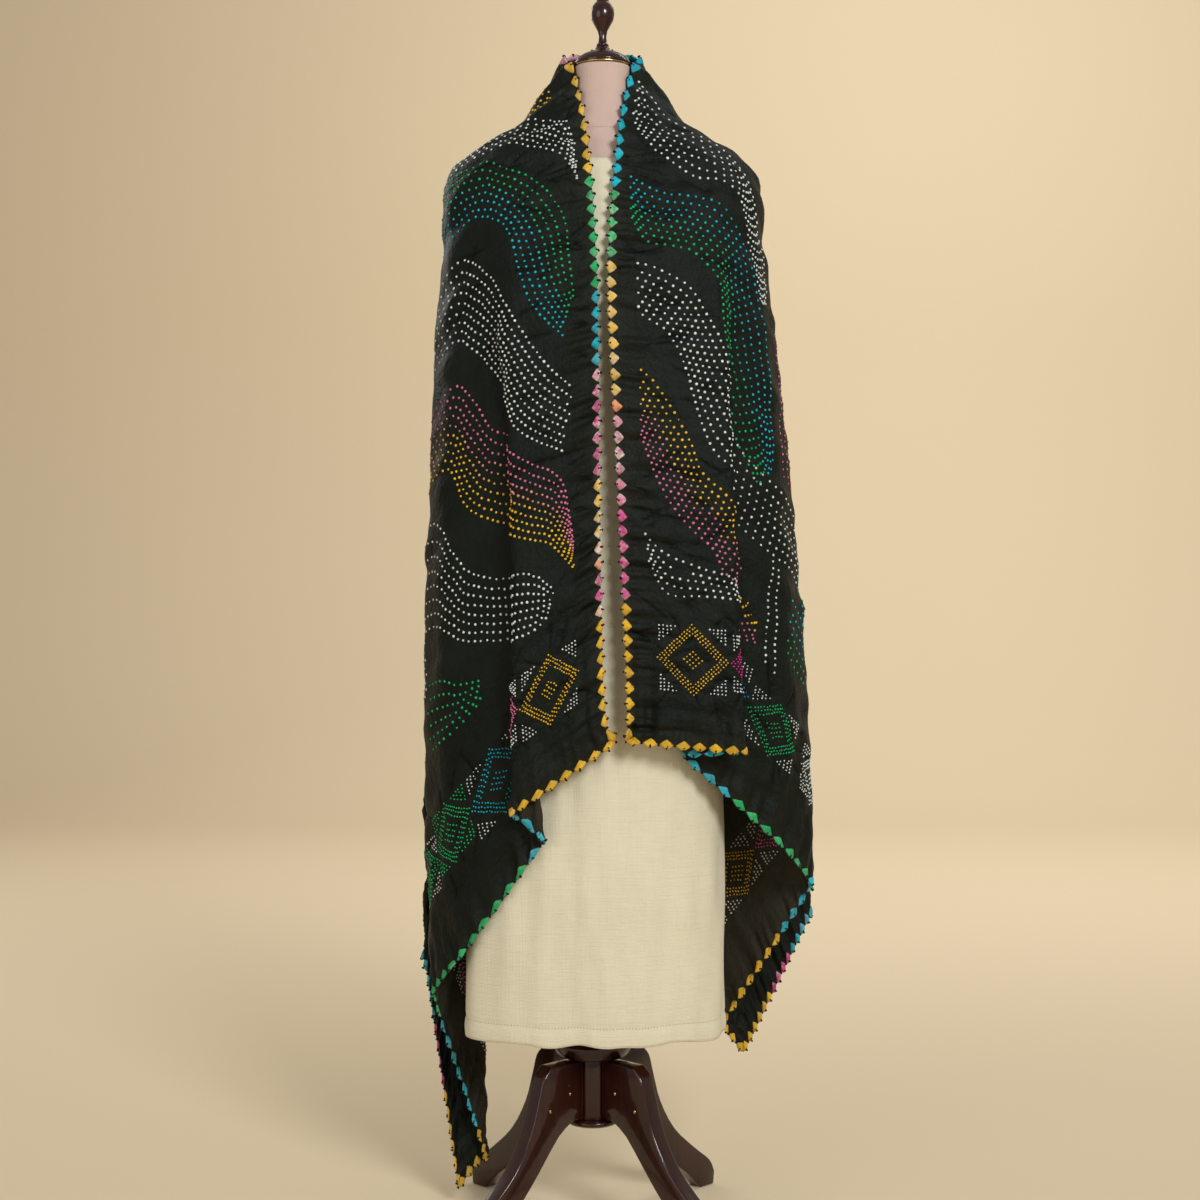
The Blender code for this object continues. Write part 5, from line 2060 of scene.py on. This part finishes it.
    def _stitches(self, radius: np.ndarray, ways: np.ndarray, sway: np.ndarray, height: float,
                  finishes: Finishes) -> bpy.types.Object:
        """The row of stitches that holds the hem.

        Args:
            radius: Radius of the stitch line.
            ways: Direction of each side.
            sway: Rise of the hem at each side.
            height: Height of the stitch line.
            finishes: The materials.

        Returns:
            The piece.
        """
        ring = np.hstack([(AXIS.x, AXIS.y) + ways * radius[:, None], (height + sway * 0.5)[:, None]])
        ring = np.vstack([ring, ring[:1]])
        gone = run_of(ring)
        at = np.arange(0.0, gone[-1], self.stitch_pitch)
        normals = np.hstack([between(at, gone, np.vstack([ways, ways[:1]])), np.zeros((len(at), 1))])
        colours = np.tile(STITCH, (len(at), 1))
        lens = Lens(0.0011, 0.0006, finishes.edging, unevenness=0.1, seed=2)
        return settle(spread_on_points("hem_stitches", between(at, gone, ring), normals, colours, lens))


@dataclass
class DressForm:
    """The padded form with its covered neck and the seam round the neck's foot."""

    sides: int = 120
    low: float = 0.8008
    high: float = 1.5298
    bust_high: float = 1.36             # closer rings above this height
    seam_height: float = 1.441
    seam_depth: float = 0.0009
    seam_width: float = 0.003
    cord_radius: float = 0.0011
    cord_sides: int = 8
    map_radius: float = 0.10

    def build(self, finishes: Finishes) -> list[bpy.types.Object]:
        """Build the cover and the seam cord.

        Args:
            finishes: The materials.

        Returns:
            The pieces.
        """
        tree = node_tree_of("form")
        turns, ways = ways_round(self.sides)
        heights = np.concatenate([np.linspace(self.low, self.bust_high, 60),
                                  np.linspace(self.bust_high + 0.006, self.high, 34)])
        rings = np.empty((len(heights), self.sides, 3))
        for index, height in enumerate(heights):
            radius = outline_at(tree, height, turns)
            sunk = math.exp(-((height - self.seam_height) / self.seam_width) ** 2)
            radius = radius - self.seam_depth * sunk
            rings[index, :, :2] = (AXIS.x, AXIS.y) + ways * radius[:, None]
            rings[index, :, 2] = height
        faces: list[Sequence[int]] = list(tube(rings))
        last = (len(heights) - 1) * self.sides
        faces.append(range(last, last + self.sides))
        faces.append(range(self.sides - 1, -1, -1))
        cover = add_piece("form_cover", rings.reshape(-1, 3), faces, finishes.linen)
        around = np.tile(turns * self.map_radius, len(heights))
        put_map(cover.data, np.stack([around, np.repeat(heights, self.sides)], axis=1))
        cover.data.set_sharp_from_angle(angle=math.radians(50))
        settle(cover)
        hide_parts("form")
        level = int(np.argmin(np.abs(heights - self.seam_height)))
        cord = self._cord(rings[level], ways, finishes)
        return [cover, cord]

    def _cord(self, ring: np.ndarray, ways: np.ndarray, finishes: Finishes) -> bpy.types.Object:
        """The thin corded seam at the foot of the neck.

        Args:
            ring: Points of the cover at the seam.
            ways: Direction of each side.
            finishes: The materials.

        Returns:
            The piece.
        """
        thick, sides = self.cord_radius, self.cord_sides
        rings = np.empty((sides + 1, self.sides, 3))
        for index in range(sides + 1):
            turn = index / sides * math.tau
            rings[index, :, :2] = ring[:, :2] + ways * (0.0002 + thick * math.sin(turn))
            rings[index, :, 2] = ring[:, 2] - thick * math.cos(turn)
        faces = [tuple(i % (sides * self.sides) for i in face) for face in tube(rings)]
        cord = add_piece("neck_seam", rings[:-1].reshape(-1, 3), faces, finishes.linen)
        around = np.stack([np.arange(self.sides) * 0.002, np.zeros(self.sides)], axis=1)
        put_map(cord.data, np.tile(around, (sides, 1)))
        return settle(cord)


@dataclass
class Stand:
    """The varnished stand: softened copies of the CAD parts, and its brass screws."""

    turned: tuple[str, ...] = ("collar", "hub", "base_disc", "neck_cap", "finial", "pole")
    legs: tuple[str, ...] = ("leg_1", "leg_2", "leg_3", "leg_4")
    screw_reaches: tuple[float, ...] = (0.052, 0.088)
    leg_round: float = 0.0028
    turned_round: float = 0.0007
    rim_round: float = 0.0003
    round_steps: int = 3
    flat_angle: float = 1.0             # degrees: flatter edges than this are dissolved
    corner_angle: float = 32.0          # degrees: sharper edges than this are rounded
    smooth_angle: float = 40.0

    def _copy(self, node: str, width: float, finish: bpy.types.Material) -> bpy.types.Object:
        """A copy of a CAD node with softened corners.

        Args:
            node: The node.
            width: How far the corners are rounded.
            finish: The material.

        Returns:
            The piece.
        """
        bm = solid_of(node)
        bmesh.ops.remove_doubles(bm, verts=bm.verts, dist=0.00001)
        bmesh.ops.dissolve_limit(bm, angle_limit=math.radians(self.flat_angle), verts=bm.verts,
                                 edges=bm.edges)
        corners = [edge for edge in bm.edges if len(edge.link_faces) == 2
                   and edge.calc_face_angle(0.0) > math.radians(self.corner_angle)]
        bmesh.ops.bevel(bm, geom=corners, offset=width, segments=self.round_steps, profile=0.5,
                        affect="EDGES", clamp_overlap=True)
        mesh = bpy.data.meshes.new("varnished_" + node)
        bmesh.ops.triangulate(bm, faces=[face for face in bm.faces if len(face.verts) > 4])
        bm.to_mesh(mesh)
        bm.free()
        mesh.materials.append(finish)
        mesh.shade_smooth()
        mesh.set_sharp_from_angle(angle=math.radians(self.smooth_angle))
        piece = settle(put_in_scene("varnished_" + node, mesh))
        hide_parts(node)
        return piece

    def build(self, finishes: Finishes) -> list[bpy.types.Object]:
        """Build the stand.

        Args:
            finishes: The materials.

        Returns:
            The pieces.
        """
        pieces = [self._copy(node, self.leg_round, finishes.wood) for node in self.legs]
        pieces += [self._copy(node, self.turned_round, finishes.wood) for node in self.turned]
        pieces.append(self._copy("cap_rim", self.rim_round, finishes.brass))
        pieces.append(self._screws(finishes))
        return pieces

    def _screws(self, finishes: Finishes) -> bpy.types.Object:
        """Small brass screw heads on the faces of the legs.

        Args:
            finishes: The materials.

        Returns:
            The piece.
        """
        points, normals = [], []
        for node in self.legs:
            tree = node_tree_of(node)
            middle = middle_of(node)
            out = Vector((middle.x - AXIS.x, middle.y - AXIS.y, 0.0)).normalized()
            aside = Vector((-out.y, out.x, 0.0))
            for reach in self.screw_reaches:
                spot = Vector((AXIS.x, AXIS.y, 0.0)) + out * reach
                top = tree.ray_cast(spot + Vector((0, 0, 0.5)), Vector((0, 0, -1)))[0]
                foot = tree.ray_cast(spot - Vector((0, 0, 0.1)), Vector((0, 0, 1)))[0]
                if top is None or foot is None:
                    continue
                spot.z = (top.z + foot.z) / 2
                for sign in (-1, 1):
                    hit, normal, _, _ = tree.ray_cast(spot + aside * sign * 0.2, -aside * sign, 0.25)
                    if hit:
                        points.append(hit)
                        normals.append(normal)
        lens = Lens(0.0024, 0.0011, finishes.brass, unevenness=0.0, seed=1, sides=16, rings=10)
        colours = np.tile(SCREW, (len(points), 1))
        return settle(spread_on_points("brass_screws", np.array(points), np.array(normals), colours, lens))


# ---- studio --------------------------------------------------------------------------
class Lamp(NamedTuple):
    """One soft round lamp."""

    name: str
    place: Colour
    aim: Colour
    size: float
    power: float             # watts
    colour: Colour = (0.93, 0.96, 0.99)


LAMPS = (Lamp("key", (1.45, -3.2, 2.5), (0.0, 0.0, 0.85), 1.2, 104.0),
         Lamp("fill", (-2.4, -2.8, 1.5), (0.0, 0.0, 0.8), 2.4, 24.0),
         Lamp("paper", (1.9, 1.9, 4.2), (0.4, 6.5, 1.5), 2.4, 178.0, (0.94, 0.96, 0.99)),
         Lamp("rear", (-2.4, 3.0, 2.8), (0.0, 0.0, 0.9), 2.0, 26.0))
ROOM_COLOUR = (1.0, 0.93, 0.82, 1.0)
ROOM_STRENGTH = 0.37


@dataclass
class Studio:
    """Seamless paper, soft lights and the camera."""

    half_width: float = 7.0
    front: float = -6.0
    back: float = 6.5
    bend: float = 2.2
    bend_steps: int = 24
    top: float = 5.5
    distance: float = 2.5
    eye: float = 0.824
    aside: float = 0.0097
    lens: float = 56.4

    def backdrop(self, finishes: Finishes) -> None:
        """The floor that turns up into the wall.

        Args:
            finishes: The materials.
        """
        start = self.back - self.bend
        profile = [(self.front, 0.0), (start, 0.0)]
        for i in range(1, self.bend_steps + 1):
            turn = math.pi / 2 * i / self.bend_steps
            profile.append((start + self.bend * math.sin(turn), self.bend - self.bend * math.cos(turn)))
        profile.append((self.back, self.top))
        points = [(x, y, z) for y, z in profile for x in (-self.half_width, self.half_width)]
        faces = [(2 * i, 2 * i + 1, 2 * i + 3, 2 * i + 2) for i in range(len(profile) - 1)]
        add_piece("backdrop", np.array(points), faces, finishes.paper)

    @staticmethod
    def lights() -> None:
        """Hang the lamps and light the room evenly with warm light."""
        for lamp in LAMPS:
            light = bpy.data.lights.new(lamp.name, "AREA")
            light.shape = "DISK"
            light.size = lamp.size
            light.energy = lamp.power
            light.color = lamp.colour
            hung = put_in_scene(lamp.name, light)
            hung.location = lamp.place
            hung.rotation_euler = (Vector(lamp.aim) - Vector(lamp.place)).to_track_quat("-Z", "Y").to_euler()
        world = bpy.data.worlds.new("room")
        world.use_nodes = True
        colour, strength = world.node_tree.nodes["Background"].inputs[:2]
        colour.default_value = ROOM_COLOUR
        strength.default_value = ROOM_STRENGTH
        bpy.context.scene.world = world

    def camera(self) -> None:
        """A level camera in front, with plain tones."""
        bpy.context.scene.view_settings.view_transform = "Standard"
        data = bpy.data.cameras.new("camera")
        data.lens = self.lens
        data.sensor_width = 36.0
        camera = put_in_scene("camera", data)
        camera.location = (AXIS.x + self.aside, AXIS.y - self.distance, self.eye)
        camera.rotation_euler = (math.radians(90), 0.0, 0.0)
        bpy.context.scene.camera = camera


def main() -> None:
    """Build and dress everything in order."""
    logging.basicConfig(level=logging.INFO, format="%(message)s")
    finishes = Finishes()
    studio = Studio()
    studio.backdrop(finishes)
    studio.lights()
    studio.camera()
    Stand().build(finishes)
    DressForm().build(finishes)
    slip, stitches = Slip().build(finishes)
    silk = Silk()
    dupatta = Dupatta(silk).build(finishes)
    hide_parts("bandhani_cloth")
    extras = Edging(silk).build(finishes) + DotWork(silk).build(finishes)
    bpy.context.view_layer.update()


if __name__ == "__main__":
    main()
